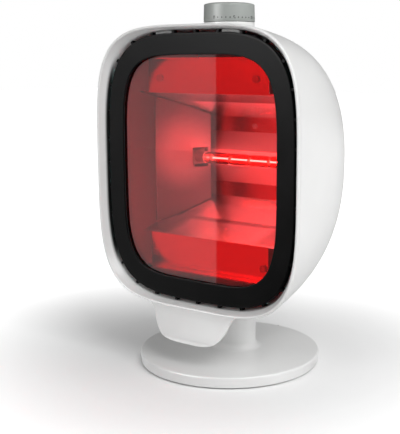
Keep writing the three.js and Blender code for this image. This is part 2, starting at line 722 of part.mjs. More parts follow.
// Evenly spaced places along an outline, with the way outward at each
function alongOutline(halfWidth, halfHeight, exponent, pitch) {
  const fine = outlineRing(halfWidth, halfHeight, exponent, 0, 0, 720);
  const lengths = [0];
  fine.forEach((point, i) => lengths.push(lengths[i] + point.distanceTo(fine[(i + 1) % fine.length])));
  const total = lengths[fine.length];
  const count = 4 * Math.round(total / pitch / 4);
  const places = [];
  for (let n = 0; n < count; n++) {
    const wanted = (n / count) * total;
    const i = lengths.findIndex(length => length > wanted) - 1;
    const [a, b] = [fine[i], fine[(i + 1) % fine.length]];
    const share = (wanted - lengths[i]) / (lengths[i + 1] - lengths[i]);
    places.push({ at: a.clone().lerp(b, share), turn: Math.atan2(b.z - a.z, b.x - a.x) - Math.PI / 2 });
  }
  return places;
}

function windowRing() {
  const face = [
    [ringHalfWidth, ringHalfHeight, ringExponent, ringSink + ringBevel],
    [ringHalfWidth - ringBevel, ringHalfHeight - ringBevel, ringExponent, ringSink],
    [windowHalfWidth + ringBevel, windowHalfHeight + ringBevel, windowExponent, ringSink],
    [windowHalfWidth, windowHalfHeight, windowExponent, ringSink + ringBevel],
    [windowHalfWidth, windowHalfHeight, windowExponent, ringSink + ringRebate],
    [windowHalfWidth + glassOverlap + fit, windowHalfHeight + glassOverlap + fit, windowExponent,
      ringSink + ringRebate],
    [windowHalfWidth + glassOverlap + fit, windowHalfHeight + glassOverlap + fit, windowExponent, ringBack],
    [ringHalfWidth, ringHalfHeight, ringExponent, ringBack],
  ];
  const band = loft(face.map(([w, h, n, depth]) => outlineRing(w, h, n, depth)), true);
  const drawIn = innerTaper * (ribSink + ribDepth) / (rimBack - ringSink);
  const ribs = ribPlaces.map(({ at, turn }) => {
    const reach = ribRoot + ventGap - drawIn - fit;
    const rib = block(-ribRoot, 0, -ribThickness / 2, reach, ribDepth, ribThickness);
    return rib.rotateY(-turn).translate(at.x, ringSink + ribSink, at.z);
  });
  return join(band, ...ribs);
}

function flatPane(inset, from, to) {
  return loft([from, to].map(depth => outlineRing(windowHalfWidth + glassOverlap - inset,
    windowHalfHeight + glassOverlap - inset, windowExponent, depth)), false);
}

function flatSeal(from, to) {
  const width = glassOverlap - ringBevel;
  return loft([[0, from], [0, to], [width, to], [width, from]].map(([inset, depth]) =>
    outlineRing(windowHalfWidth + glassOverlap - inset, windowHalfHeight + glassOverlap - inset,
      windowExponent, depth)), true);
}

addPiece(head, 'window_ring', windowRing(), blackPlastic);
const sealFront = ringSink + ringRebate + fit;
addPiece(head, 'front_seal', flatSeal(sealFront, sealFront + gasketThickness), silicone);
addPiece(head, 'red_window', flatPane(0, glassFront, glassBack), redGlass);
addPiece(head, 'rear_seal', flatSeal(glassBack + fit, glassBack + fit + gasketThickness), silicone);

// Folded mirror: flat panels above and below, a trough of flat facets between them, slanted ends
const troughShares = [[0, 0.682], [0.476, 0.586], [1, 0.417], [1, 0.262], [0.907, 0.078], [0.93, 0]];
const troughDepth = troughBack - reflectorFront;
const mitreLimitShare = 0.4;
const endFrontShare = 0.25;
const endHoleHalf = 9;
const endEdge = 0.9;
const endFront = reflectorFront + troughDepth * endFrontShare;
const endBack = lampDepth + endHoleHalf + endEdge;
const endFrontHalfWidth = mirrorHalfWidth + running;
const endDrawIn = 22;
const endBackHalfWidth = endFrontHalfWidth - endDrawIn;

// A folded sheet: a line of points thickened to one side, with mitred corners
function foldedSheet(points, thickness) {
  const line = points.map(([x, y]) => new THREE.Vector2(x, y));
  const ways = line.slice(1).map((point, i) => point.clone().sub(line[i]).normalize());
  const offset = line.map((point, i) => {
    const before = ways[Math.max(i - 1, 0)];
    const after = ways[Math.min(i, ways.length - 1)];
    const middle = before.clone().add(after).normalize();
    const side = new THREE.Vector2(-middle.y, middle.x);
    return point.clone().addScaledVector(side, thickness / Math.max(middle.dot(after), mitreLimitShare));
  });
  return new THREE.Shape([...line, ...offset.reverse()]);
}

const upperTrough = troughShares.map(([depthShare, heightShare]) =>
  [reflectorFront + troughDepth * depthShare, panelHalfHeight * heightShare]);
const troughLine = [
  ...upperTrough, ...upperTrough.slice(0, -1).reverse().map(([depth, rise]) => [depth, -rise]),
].map(([depth, rise]) => [depth, rise + lampRise]);

// Half height of the trough's mouth side at a depth
function troughReach(depth) {
  const next = upperTrough.findIndex(point => point[0] > depth);
  const [near, far] = [upperTrough[next - 1], upperTrough[next]];
  return near[1] + (far[1] - near[1]) * (depth - near[0]) / (far[0] - near[0]);
}

function reflector() {
  const top = panelHalfHeight + lampRise;
  const bottom = lampRise - panelHalfHeight;
  const section = foldedSheet([[mirrorLip, top], [reflectorFront, top], ...troughLine,
    [reflectorFront, bottom], [mirrorLip, bottom]], sheet);
  const body = drawnAlongX(section, 2 * mirrorHalfWidth);
  const notches = [-1, 1].flatMap(side => [-1, 1].map(level => {
    const start = side > 0 ? panelHalfWidth : -mirrorHalfWidth - overrun;
    const rise = level > 0 ? lampRise + panelHalfHeight * troughShares[0][1] + sheet : bottom - overrun;
    return block(start, 0, rise, mirrorHalfWidth + overrun - panelHalfWidth, reflectorFront + sheet + overrun,
      panelHalfHeight - panelHalfHeight * troughShares[0][1] + overrun);
  }));
  const holes = postPlaces.map(([x, z]) => rod(screwRadius + fit, 4 * sheet, 'y', 12)
    .translate(x, reflectorFront - 2 * sheet, z));
  return cut(body, ...notches, ...holes);
}

// Slanted end of the trough with a window for the lamp and its holder
function mirrorEnd(side) {
  const slope = Math.atan2(endFrontHalfWidth - endBackHalfWidth, endBack - endFront);
  const depths = [endFront, reflectorFront + troughDepth * troughShares[1][0], endBack];
  const upper = depths.map(depth => [(depth - endFront) / Math.cos(slope), troughReach(depth) - running]);
  const outline = [...upper.map(([along, rise]) => [along, -rise]), ...upper.slice().reverse()];
  const shape = polygon(outline);
  const lampAlong = (lampDepth - endFront) / Math.cos(slope);
  const holeBack = endHoleHalf - running;
  const hole = polygon([
    [lampAlong - endHoleHalf, -endHoleHalf], [lampAlong - endHoleHalf, endHoleHalf],
    [lampAlong + holeBack, endHoleHalf], [lampAlong + holeBack, -endHoleHalf],
  ]);
  shape.holes.push(hole);
  const plate = new THREE.ExtrudeGeometry(shape, { depth: sheet, bevelEnabled: false });
  plate.rotateX(Math.PI / 2);
  plate.rotateZ(Math.PI / 2 + slope);
  plate.translate(endFrontHalfWidth, endFront, lampRise);
  if (side < 0) {
    plate.scale(-1, 1, 1);
    return facingOut(merged(plate));
  }
  return plate;
}

// Lamp and its holders
const capRadius = 5.6;
const capLength = 10;
const holderHalfHeight = 7;
const holderDepth = 17;
const holderWidth = 13;
const filamentHalfLength = 42;
const filamentRadius = 0.9;
const supportRadius = 3.2;
const supportThickness = 0.5;
const supportPitch = 21;
const tubeWall = 1;
const tubeNeck = 0.7;
const tubeKneeShare = 1 / 6;
const tubeHalfLength = lampLength / 2 - capLength;

addPiece(head, 'reflector', reflector(), mirror);
addPiece(head, 'reflector_end_left', mirrorEnd(-1), mirror);
addPiece(head, 'reflector_end_right', mirrorEnd(1), mirror);
postPlaces.forEach(([x, z], i) => {
  const fixing = screw(screwHeadHeight + fit + mirrorScrewReach - screwEndFit).rotateX(-Math.PI / 2);
  fixing.translate(x, reflectorFront - fit - screwHeadHeight, z);
  addPiece(head, `mirror_screw_${i + 1}`, fixing, steel);
});

const atLamp = geometry => geometry.rotateY(Math.PI / 2).translate(0, lampDepth, lampRise);

// The quartz tube draws in a little at each filament support
function lampTube() {
  const outer = [];
  const inner = [];
  const supports = supportPlaces();
  const knee = supportPitch * tubeKneeShare;
  const addStep = (along, radius) => {
    outer.push([radius, along]);
    inner.unshift([radius - tubeWall, along]);
  };
  addStep(-tubeHalfLength + fit, lampRadius - tubeNeck);
  for (const place of supports) {
    if (place - knee > -tubeHalfLength + fit) addStep(place - knee, lampRadius);
    addStep(place, lampRadius - tubeNeck);
    if (place + knee < tubeHalfLength - fit) addStep(place + knee, lampRadius);
  }
  addStep(tubeHalfLength - fit, lampRadius - tubeNeck);
  return atLamp(turned([...outer, ...inner, outer[0]], 10));
}

function supportPlaces() {
  const count = Math.floor(filamentHalfLength / supportPitch);
  return Array.from({ length: 2 * count + 1 }, (_, i) => (i - count) * supportPitch);
}

function filament() {
  const line = [[0, -tubeHalfLength + fit], [filamentRadius / 2, -tubeHalfLength + fit]];
  for (const place of supportPlaces()) {
    line.push([filamentRadius, place - supportThickness], [supportRadius, place - supportThickness / 2],
      [supportRadius, place + supportThickness / 2], [filamentRadius, place + supportThickness]);
  }
  line.push([filamentRadius / 2, tubeHalfLength - fit], [0, tubeHalfLength - fit]);
  return atLamp(turned(line, 8));
}

function lampCap(side) {
  const start = side > 0 ? tubeHalfLength : -lampLength / 2 + fit;
  return rod(capRadius, capLength - fit, 'x', 16).translate(start, lampDepth, lampRise);
}

function lampHolder(side) {
  const near = side * lampLength / 2;
  const start = side > 0 ? near : near - holderWidth;
  const back = reflectorFront + troughDepth * troughShares[4][0] - fit;
  return block(start, back - holderDepth, lampRise - holderHalfHeight,
    holderWidth, holderDepth, 2 * holderHalfHeight);
}

addPiece(head, 'lamp_tube', lampTube(), quartz);
addPiece(head, 'lamp_filament', filament(), tungsten);
for (const [side, label] of [[-1, 'left'], [1, 'right']]) {
  addPiece(head, `lamp_cap_${label}`, lampCap(side), ceramic);
  addPiece(head, `lamp_holder_${label}`, lampHolder(side), ceramic);
}

// Cooling fan: square frame with a round throat and three struts, motor hub and a seven-bladed rotor
const throatRim = 3;
const throatRadius = fanSize / 2 - throatRim;
const fanCorner = 4;
const fanHoleRadius = 1.9;
const hubRadius = 15;
const hubChamfer = 1;
const motorPlate = 2.5;
const strutThickness = 4;
const strutCount = 3;
const bladeCount = 7;
const tipClear = 1.5;
const bladeRadius = throatRadius - tipClear;
const bladeThickness = 1.4;
const bladeAngle = 38 * Math.PI / 180;
const rotorFront = 2.5;
const rotorDepth = fanThickness - motorPlate - rotorFront;
const spindleRadius = 2;
const spindleBore = spindleRadius + fit;
const bladeSink = 2;
const bladeRoot = hubRadius - bladeSink;
const bladeWashShare = 1 / 3;
const bladeLeanShare = 1 / 2;

function roundedSquare(size, corner) {
  const half = size / 2;
  return polygon([
    ...arcPoints(half - corner, half - corner, corner, 0, Math.PI / 2, 4),
    ...arcPoints(corner - half, half - corner, corner, Math.PI / 2, Math.PI, 4),
    ...arcPoints(corner - half, corner - half, corner, Math.PI, Math.PI * 3 / 2, 4),
    ...arcPoints(half - corner, corner - half, corner, Math.PI * 3 / 2, Math.PI * 2, 4),
  ]);
}

function fanFrame() {
  const body = plateFacingFront(roundedSquare(fanSize, fanCorner), fanThickness);
  const throat = rod(throatRadius, fanThickness + 2 * overrun, 'y', 32).translate(0, -overrun, 0);
  const holes = fourCorners(fanHoleReach, fanHoleReach).map(([x, z]) =>
    rod(fanHoleRadius, fanThickness + 2 * overrun, 'y', 8).translate(x, -overrun, z));
  const struts = Array.from({ length: strutCount }, (_, i) =>
    block(0, 0, -strutThickness / 2, throatRadius + fanCorner / 2, motorPlate, strutThickness)
      .rotateY(i / strutCount * 2 * Math.PI + Math.PI / 6));
  const motor = rod(hubRadius - fit, motorPlate, 'y', 20);
  const spindle = rod(spindleRadius, fanThickness - running, 'y', 16);
  return join(cut(body, throat, ...holes), ...struts, motor, spindle);
}

// One blade: a curved, twisted slab lofted from the hub to the tip
function fanBlade() {
  const stations = 3;
  const sections = [];
  for (let i = 0; i <= stations; i++) {
    const share = i / stations;
    const radius = bladeRoot + (bladeRadius - bladeRoot) * share;
    const half = rotorDepth / 2 - running / 2;
    const pitch = bladeAngle * (1 - share * bladeWashShare);
    const sweep = half / Math.tan(Math.PI / 2 - pitch);
    const lean = bladeAngle * share * bladeLeanShare;
    const corner = (depth, along) => {
      const angle = lean + along / radius;
      return new THREE.Vector3(radius * Math.cos(angle), rotorDepth / 2 + depth, radius * Math.sin(angle));
    };
    const edge = bladeThickness / 2 / Math.cos(pitch);
    sections.push([
      corner(-half, -sweep - edge), corner(half, sweep - edge),
      corner(half, sweep + edge), corner(-half, -sweep + edge),
    ]);
  }
  return loft(sections, false);
}

function fanRotor() {
  const cup = turned([
    [spindleBore, 0], [hubRadius - hubChamfer, 0], [hubRadius, hubChamfer], [hubRadius, rotorDepth],
    [spindleBore, rotorDepth], [spindleBore, 0],
  ], 20).rotateX(-Math.PI / 2);
  const blade = fanBlade();
  const blades = Array.from({ length: bladeCount }, (_, i) =>
    blade.clone().rotateY(i / bladeCount * 2 * Math.PI));
  return join(cup, ...blades);
}

const fan = new THREE.Group();
fan.position.set(0, fanDepth, grilleRise);
head.add(fan);
addPiece(fan, 'fan_frame', fanFrame(), blackNylon);
addPiece(fan, 'fan_rotor', fanRotor().translate(0, motorPlate + running, 0), blackNylon);
fourCorners(fanHoleReach, fanHoleReach).forEach(([x, z], i) => {
  const length = screwHeadHeight + fit + fanThickness + fanScrewReach - screwEndFit;
  const fixing = screw(length).rotateX(-Math.PI / 2);
  addPiece(fan, `fan_screw_${i + 1}`, fixing.translate(x, -fit - screwHeadHeight, z), steel);
});

// Timer: clockwork case under the collar, threaded neck with nut, flatted shaft and the knob
const timerDepth = 36;
const timerHeight = 22;
const timerCorner = 3;
const nutRadius = 8.5;
const nutHeight = 2.6;
const neckTop = collarTop + 2 * fit + nutHeight;
const shaftRadius = 3;
const shaftFlat = 1.5;
const shaftTop = 10;
const knobWall = 2;
const knobEdge = 3.2;
const knobDraft = 0.5;
const knobCrown = 0.6;
const knobStem = 6;
const knobRoof = 4;
const knobTop = collarTop + fit + knobHeight;

function timerCase() {
  const shape = new THREE.Shape();
  const [x, y] = [timerWidth / 2, timerDepth / 2];
  shape.moveTo(-x + timerCorner, -y);
  shape.lineTo(x - timerCorner, -y).lineTo(x, -y + timerCorner).lineTo(x, y - timerCorner);
  shape.lineTo(x - timerCorner, y).lineTo(-x + timerCorner, y).lineTo(-x, y - timerCorner);
  shape.lineTo(-x, -y + timerCorner).closePath();
  const body = new THREE.ExtrudeGeometry(shape, { depth: timerHeight, bevelEnabled: false });
  body.translate(0, 0, timerTop - timerHeight);
  const root = timerTop - overrun;
  const neck = rod(bushingRadius, neckTop - root, 'z', 20).translate(0, 0, root);
  const bore = rod(shaftRadius + fit, neckTop - root + 2 * overrun, 'z', 14).translate(0, 0, root);
  return cut(join(body, neck), bore);
}

function timerNut() {
  const hexagon = rod(nutRadius, nutHeight, 'z', 6);
  return cut(hexagon, rod(bushingRadius + fit, nutHeight + overrun, 'z', 20).translate(0, 0, -overrun / 2))
    .translate(0, 0, collarTop + fit);
}

function timerShaft(extra = 0) {
  const bottom = timerTop - overrun + fit;
  const bar = rod(shaftRadius + extra, collarTop + shaftTop - bottom, 'z', 14).translate(0, 0, bottom);
  const flat = block(-2 * shaftRadius, shaftFlat + extra, neckTop + fit,
    4 * shaftRadius, 2 * shaftRadius, 2 * headHalfHeight);
  return cut(bar, flat);
}

function timerKnob() {
  const bottom = collarTop + fit;
  const edgeMiddle = knobRadius - knobDraft - knobEdge;
  const outer = turned([
    [0, bottom], [knobRadius, bottom],
    ...arcPoints(edgeMiddle, knobTop - knobCrown - knobEdge, knobEdge, 0, Math.PI / 2, 3), [0, knobTop],
  ], 40);
  const hollow = rod(knobRadius - knobWall - knobDraft, knobHeight - knobRoof + overrun, 'z', 32)
    .translate(0, 0, bottom - overrun);
  const stem = rod(knobStem, knobTop - knobWall - neckTop - fit, 'z', 16)
    .translate(0, 0, neckTop + fit);
  return cut(join(cut(outer, hollow), stem), timerShaft(fit));
}

const timer = new THREE.Group();
timer.position.set(0, knobDepth, 0);
head.add(timer);
addPiece(timer, 'timer_case', timerCase(), blackNylon);
addPiece(timer, 'timer_nut', timerNut(), steel);
addPiece(timer, 'timer_shaft', timerShaft(), steel);
addPiece(timer, 'timer_knob', timerKnob(), greyPlastic);

// Behind the mirror: terminal block on the lower panel and thermal cut-out on the upper one
const terminalWidth = 34;
const terminalDepth = 14;
const terminalHeight = 15;
const terminalEdge = 3;
const entryShare = 1 / 6;
const cutoutRadius = 8;
const cutoutDepth = 7;
const cutoutBeside = 13;
const cutoutPlaceX = upperPostX - cutoutBeside;
const behindPanel = reflectorFront + sheet + fit;

function terminalBlock() {
  const body = block(-terminalWidth / 2, behindPanel, 0, terminalWidth, terminalDepth, terminalHeight);
  const ways = 3;
  const entries = Array.from({ length: ways }, (_, i) => {
    const x = (i - (ways - 1) / 2) * terminalWidth / (ways + 1);
    return rod(terminalHeight * entryShare, terminalDepth, 'y', 10)
      .translate(x, behindPanel + terminalDepth / 2, terminalHeight / 2);
  });
  return cut(body, ...entries).translate(0, 0, lampRise - panelHalfHeight + terminalEdge);
}

addPiece(head, 'terminal_block', terminalBlock(), ceramic);
addPiece(head, 'thermal_cutout', rod(cutoutRadius, cutoutDepth, 'y', 20)
  .translate(cutoutPlaceX, behindPanel, lampRise + panelHalfHeight - cutoutRadius - terminalEdge), steel);

// Two light clips that hold the ring in the gap at the top
const clipWidth = 17;
const clipDepth = 3;
const clipSink = 3;

// Each clip stands between the first and second rib from the top middle
function ringClip(side) {
  const topRib = ribPlaces.length / 4;
  const place = (ribPlaces[topRib - side].at.x + ribPlaces[topRib - 2 * side].at.x) / 2;
  const strip = block(place - clipWidth / 2, 0, 0, clipWidth, clipDepth, headHalfHeight);
  const throat = loft([-overrun, ringBack].map(depth => throatRing(depth, fit)), false);
  const ring = loft([-2 * overrun, ringBack + overrun].map(depth =>
    outlineRing(ringHalfWidth + fit, ringHalfHeight + fit, ringExponent, depth)), false);
  return common(strip.translate(0, ringSink + clipSink, 0), cut(throat, ring));
}

addPiece(head, 'ring_clip_left', ringClip(-1), clipPlastic);
addPiece(head, 'ring_clip_right', ringClip(1), clipPlastic);

export default lamp;
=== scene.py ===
import math

import bmesh
import bpy
import numpy as np
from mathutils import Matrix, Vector


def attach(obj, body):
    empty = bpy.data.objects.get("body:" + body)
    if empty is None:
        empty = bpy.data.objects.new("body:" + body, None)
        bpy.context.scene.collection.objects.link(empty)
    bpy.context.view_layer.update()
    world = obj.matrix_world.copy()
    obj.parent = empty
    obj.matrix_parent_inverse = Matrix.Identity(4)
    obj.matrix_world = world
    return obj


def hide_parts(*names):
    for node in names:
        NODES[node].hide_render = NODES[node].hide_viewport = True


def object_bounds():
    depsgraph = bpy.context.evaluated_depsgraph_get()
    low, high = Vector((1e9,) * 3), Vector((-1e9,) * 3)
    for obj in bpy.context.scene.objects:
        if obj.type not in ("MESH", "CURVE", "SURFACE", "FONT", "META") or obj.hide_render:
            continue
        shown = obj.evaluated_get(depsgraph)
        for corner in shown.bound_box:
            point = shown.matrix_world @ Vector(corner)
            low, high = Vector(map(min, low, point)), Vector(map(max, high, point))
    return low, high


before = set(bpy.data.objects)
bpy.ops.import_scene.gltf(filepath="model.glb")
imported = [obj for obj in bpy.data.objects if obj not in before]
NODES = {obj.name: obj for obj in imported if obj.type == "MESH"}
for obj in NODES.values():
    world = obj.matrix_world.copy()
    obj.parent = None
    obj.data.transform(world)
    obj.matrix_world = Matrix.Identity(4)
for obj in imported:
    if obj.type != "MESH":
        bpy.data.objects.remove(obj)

CAD_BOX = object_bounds()

# Sizes are in millimetres and angles in degrees; a mesh turns its sizes into metres.
# FIT is the gap between parts that meet, and OVERRUN is how far a cutter runs past what it cuts.
MM = 0.001
FIT = 0.3
OVERRUN = 2
SHARP_ANGLE = 32
OUTLINE_SIDES, FINE_SIDES = 160, 1440
FOOT_FORWARD = 6.4
FOOT_RADIUS, FOOT_HEIGHT, FOOT_WALL = 80, 10.4, 2.8
COLUMN_RADIUS, COLUMN_BACK, FLARE, SHOULDER_RISE, SHOULDER_ROUND = 18.5, 9, 6, 50, 6
TONGUE_HALF_WIDTH, TONGUE_HALF_DEPTH, TILT_RISE = 15, 7.5, 80
HEAD_HEIGHT, HEAD_FRONT = 175.397, 56.5
HEAD_HALF_WIDTH, HEAD_HALF_HEIGHT, HEAD_DEPTH = 104, 118.5, 150
SHELL_WALL, SHELL_LIP, RIM_BACK, RIM_DEPTH = 2.5, 1.2, 16, 3
FRONT_EXPONENT, BACK_EXPONENT, BACK_ROUNDNESS = 4.1, 2, 3.4
TAPER_SHARE, BACK_LIFT_SHARE = 0.11, 0.034
# Outlines as half width, half height and exponent
OPENING = (101.3, 116.1, 4.09)
THROAT = (98.7, 115.1, 3.83)
WINDOW = (79.2, 94.3, 4.45)
RING_SINK, RING_BACK, RING_REBATE = 7.5, 13, 1.4
GLASS_FRONT, GLASS_BACK, GLASS_OVERLAP, GLASS_EDGE = 10.5, 14.5, 4, 0.4
KNOB_RADIUS, KNOB_HEIGHT, KNOB_RISE, COLLAR_RADIUS = 21.8, 15.9, 296.997, 21.4
LAMP_DEPTH, LAMP_RISE, LAMP_RADIUS = 90, 1, 5.2
HEAD_ORIGIN = np.array([0, -HEAD_FRONT - FOOT_FORWARD, HEAD_HEIGHT])
FOOT_ORIGIN = np.array([0, -FOOT_FORWARD, 0])


# Meshes

def mesh_object(name, points, faces, origin=HEAD_ORIGIN):
    """Makes an object from points in millimetres, with its normals out."""
    mesh = bpy.data.meshes.new(name)
    mesh.from_pydata([tuple((np.array(p) + origin) * MM) for p in points], [], faces)
    obj = bpy.data.objects.new(name, mesh)
    bpy.context.scene.collection.objects.link(obj)
    work = bmesh.new()
    work.from_mesh(mesh)
    bmesh.ops.remove_doubles(work, verts=work.verts, dist=1e-6)
    bmesh.ops.recalc_face_normals(work, faces=work.faces)
    work.to_mesh(mesh)
    work.free()
    shade(obj)
    return obj


def shade(obj, sharp=SHARP_ANGLE):
    """Smooth shading, with edges sharp past an angle."""
    obj.data.shade_smooth()
    obj.data.set_sharp_from_angle(angle=math.radians(sharp))


def outline(half_width, half_height, exponent, depth, rise=0.0, sides=OUTLINE_SIDES):
    """A superellipse that stands at a depth, in evenly spaced points."""
    angle = np.linspace(0, 2 * math.pi, FINE_SIDES + 1)
    c, s = np.cos(angle), np.sin(angle)
    x = half_width * np.sign(c) * np.abs(c) ** (2 / exponent)
    z = half_height * np.sign(s) * np.abs(s) ** (2 / exponent)
    length = np.concatenate([[0], np.cumsum(np.hypot(np.diff(x), np.diff(z)))])
    wanted = np.linspace(0, length[-1], sides, endpoint=False)
    x, z = np.interp(wanted, length, x), np.interp(wanted, length, z)
    return np.stack([x, np.full(sides, float(depth)), z + rise], axis=1)


def widened(shape, by):
    """An outline that stands out all round, or in where the step is negative."""
    half_width, half_height, exponent = shape
    return half_width + by, half_height + by, exponent


def loft(rings, band=False, poles=(None, None)):
    """Quads between rings; a band closes on itself, and a pole closes an end with a fan."""
    sides = len(rings[0])
    points = [p for ring in rings for p in ring]
    faces = []
    spans = len(rings) if band else len(rings) - 1
    for i in range(spans):
        near, far = i * sides, ((i + 1) % len(rings)) * sides
        for j in range(sides):
            k = (j + 1) % sides
            faces.append((near + j, near + k, far + k, far + j))
    if not band:
        for ring, pole in ((0, poles[0]), (len(rings) - 1, poles[1])):
            start = ring * sides
            if pole is None:
                faces.append(tuple(range(start, start + sides)))
                continue
            points.append(pole)
            faces += [(start + j, start + (j + 1) % sides, len(points) - 1) for j in range(sides)]
    return points, faces


def lathe(profile, sides=96, middle=(0, 0, 0), axis="z"):
    """Turns radius and height pairs about an axis; a profile may start and end on it."""
    rings, poles = [], [None, None]
    for n, (radius, height) in enumerate(profile):
        if radius < 1e-6:
            poles[0 if n == 0 else 1] = along(0, 0, height, middle, axis)
            continue
        rings.append([along(radius * math.cos(a), radius * math.sin(a), height, middle, axis)
                      for a in np.linspace(0, 2 * math.pi, sides, endpoint=False)])
    return loft(rings, band=poles == [None, None], poles=poles)


def bar(radius, low, high, sides, middle, axis="z"):
    return lathe([(0, low), (radius, low), (radius, high), (0, high)], sides, middle, axis)


def along(u, v, height, middle, axis):
    x, y, z = middle
    if axis == "z":
        return x + u, y + v, z + height
    if axis == "y":
        return x + u, y + height, z + v
    return x + height, y + u, z + v


def arc(x, y, radius, start, end, steps):
    """Points on an arc, its angles in degrees."""
    return [(x + radius * math.cos(math.radians(a)), y + radius * math.sin(math.radians(a)))
            for a in np.linspace(start, end, steps + 1)]


def prism(shape, low, high, axis="y"):
    """An outline of points drawn out between two levels along an axis."""
    rings = [[along(u, v, level, (0, 0, 0), axis) for u, v in shape] for level in (low, high)]
    return loft(rings)


def box(low, high):
    (x0, y0, z0), (x1, y1, z1) = low, high
    return prism([(x0, z0), (x1, z0), (x1, z1), (x0, z1)], y0, y1)


def merged(*solids):
    """Several meshes as one list of points and faces."""
    points, faces = [], []
    for more_points, more_faces in solids:
        start = len(points)
        points += [tuple(p) for p in more_points]
        faces += [tuple(i + start for i in face) for face in more_faces]
    return points, faces


def boolean(obj, operation, *solids, origin=HEAD_ORIGIN):
    """Joins the solids to an object, cuts them out of it or keeps what they share."""
    tool = mesh_object("tool", *merged(*solids), origin=origin)
    modifier = obj.modifiers.new("boolean", "BOOLEAN")
    modifier.operation, modifier.solver, modifier.object = operation, "EXACT", tool
    modifier.use_self = operation == "UNION"
    apply_modifiers(obj)
    bpy.data.objects.remove(tool)
    shade(obj)


def apply_modifiers(obj):
    graph = bpy.context.evaluated_depsgraph_get()
    old = obj.data
    obj.data = bpy.data.meshes.new_from_object(obj.evaluated_get(graph))
    obj.modifiers.clear()
    bpy.data.meshes.remove(old)


def bevel(obj, width, segments, angle):
    modifier = obj.modifiers.new("bevel", "BEVEL")
    modifier.width, modifier.segments = width * MM, segments
    modifier.limit_method, modifier.angle_limit = "ANGLE", math.radians(angle)
    modifier.harden_normals = True
    modifier.use_clamp_overlap = True
    apply_modifiers(obj)


def finish_piece(obj, body, material, slot, *nodes):
    obj.data.materials.clear()
    obj.data.materials.append(material)
    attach(obj, body)
    if nodes:
        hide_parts(*nodes)


# Materials

NOISE_MIDDLE = (0.3, 0.7)     # where most of a noise's values lie


class Shader:
    """A Principled material with its node tree at hand."""

    def __init__(self, name, color, roughness, metallic=0.0, **sockets):
        self.material = bpy.data.materials.new(name)
        self.material.use_nodes = True
        self.tree = self.material.node_tree
        self.bsdf = self.tree.nodes["Principled BSDF"]
        self.set("Base Color", (*color, 1))
        self.set("Roughness", roughness)
        self.set("Metallic", metallic)
        for key, value in sockets.items():
            self.set(key.replace("_", " "), value)
        self.place = self.node("ShaderNodeTexCoord").outputs["Object"]

    def node(self, kind, **values):
        made = self.tree.nodes.new(kind)
        for key, value in values.items():
            setattr(made, key, value)
        return made

    def link(self, out, into):
        self.tree.links.new(out, into)

    def set(self, key, value):
        self.bsdf.inputs[key].default_value = value

    def noise(self, scale, detail=3.0, stretch=None):
        texture = self.node("ShaderNodeTexNoise")
        texture.inputs["Scale"].default_value = scale
        texture.inputs["Detail"].default_value = detail
        place = self.place
        if stretch:
            mapping = self.node("ShaderNodeMapping")
            mapping.inputs["Scale"].default_value = stretch
            self.link(place, mapping.inputs["Vector"])
            place = mapping.outputs["Vector"]
        self.link(place, texture.inputs["Vector"])
        return texture.outputs["Fac"]

    def spread(self, value, low, high):
        """Maps the middle of a noise's range to a range of its own."""
        reach = self.node("ShaderNodeMapRange")
        for key, number in zip(("From Min", "From Max", "To Min", "To Max"), (*NOISE_MIDDLE, low, high)):
            reach.inputs[key].default_value = number
        self.link(value, reach.inputs["Value"])
        return reach.outputs["Result"]

    def math(self, operation, *values, clamp=False):
        """A Math node, with its numbers set and its outputs linked."""
        made = self.node("ShaderNodeMath", operation=operation, use_clamp=clamp)
        for socket, value in zip(made.inputs, values):
            if isinstance(value, (int, float)):
                socket.default_value = value
            else:
                self.link(value, socket)
        return made.outputs[0]

    def reach(self, value, low, high, at_low, at_high, soft=True):
        """Goes from one number to another between two lengths in millimetres."""
        made = self.node("ShaderNodeMapRange", interpolation_type="SMOOTHSTEP" if soft else "LINEAR")
        sockets = ("From Min", "From Max", "To Min", "To Max")
        for key, number in zip(sockets, (low * MM, high * MM, at_low, at_high)):
            made.inputs[key].default_value = number
        self.link(value, made.inputs["Value"])
        return made.outputs["Result"]

    def place_apart(self):
        """The place's own X, Y and Z."""
        made = self.node("ShaderNodeSeparateXYZ")
        self.link(self.place, made.inputs["Vector"])
        return made.outputs

    def mix_color(self, share, first, second):
        """Colours the surface from the first to the second, each a colour or an output."""
        mix = self.node("ShaderNodeMix", data_type="RGBA")
        self.link(share, mix.inputs[0])
        for socket, color in ((mix.inputs[6], first), (mix.inputs[7], second)):
            if isinstance(color, tuple):
                socket.default_value = (*color, 1)
            else:
                self.link(color, socket)
        self.link(mix.outputs[2], self.bsdf.inputs["Base Color"])

    def vary_color(self, value, first, second):
        ramp = self.node("ShaderNodeValToRGB")
        for element, place, color in zip(ramp.color_ramp.elements, NOISE_MIDDLE, (first, second)):
            element.position, element.color = place, (*color, 1)
        self.link(value, ramp.inputs["Fac"])
        self.link(ramp.outputs["Color"], self.bsdf.inputs["Base Color"])
        return ramp.outputs["Color"]

    def vary_roughness(self, value, low, high):
        self.link(self.spread(value, low, high), self.bsdf.inputs["Roughness"])

    def bump(self, value, height, strength=1.0):
        made = self.node("ShaderNodeBump")
        made.inputs["Distance"].default_value = height * MM
        made.inputs["Strength"].default_value = strength
        self.link(value, made.inputs["Height"])
        self.link(made.outputs["Normal"], self.bsdf.inputs["Normal"])


FLOW_SCALE, GLOSS_SCALE, GLOSS_SPREAD = 14, 60, 0.1
TONE_SCALE, TONE_LEAST = 25, 0.94


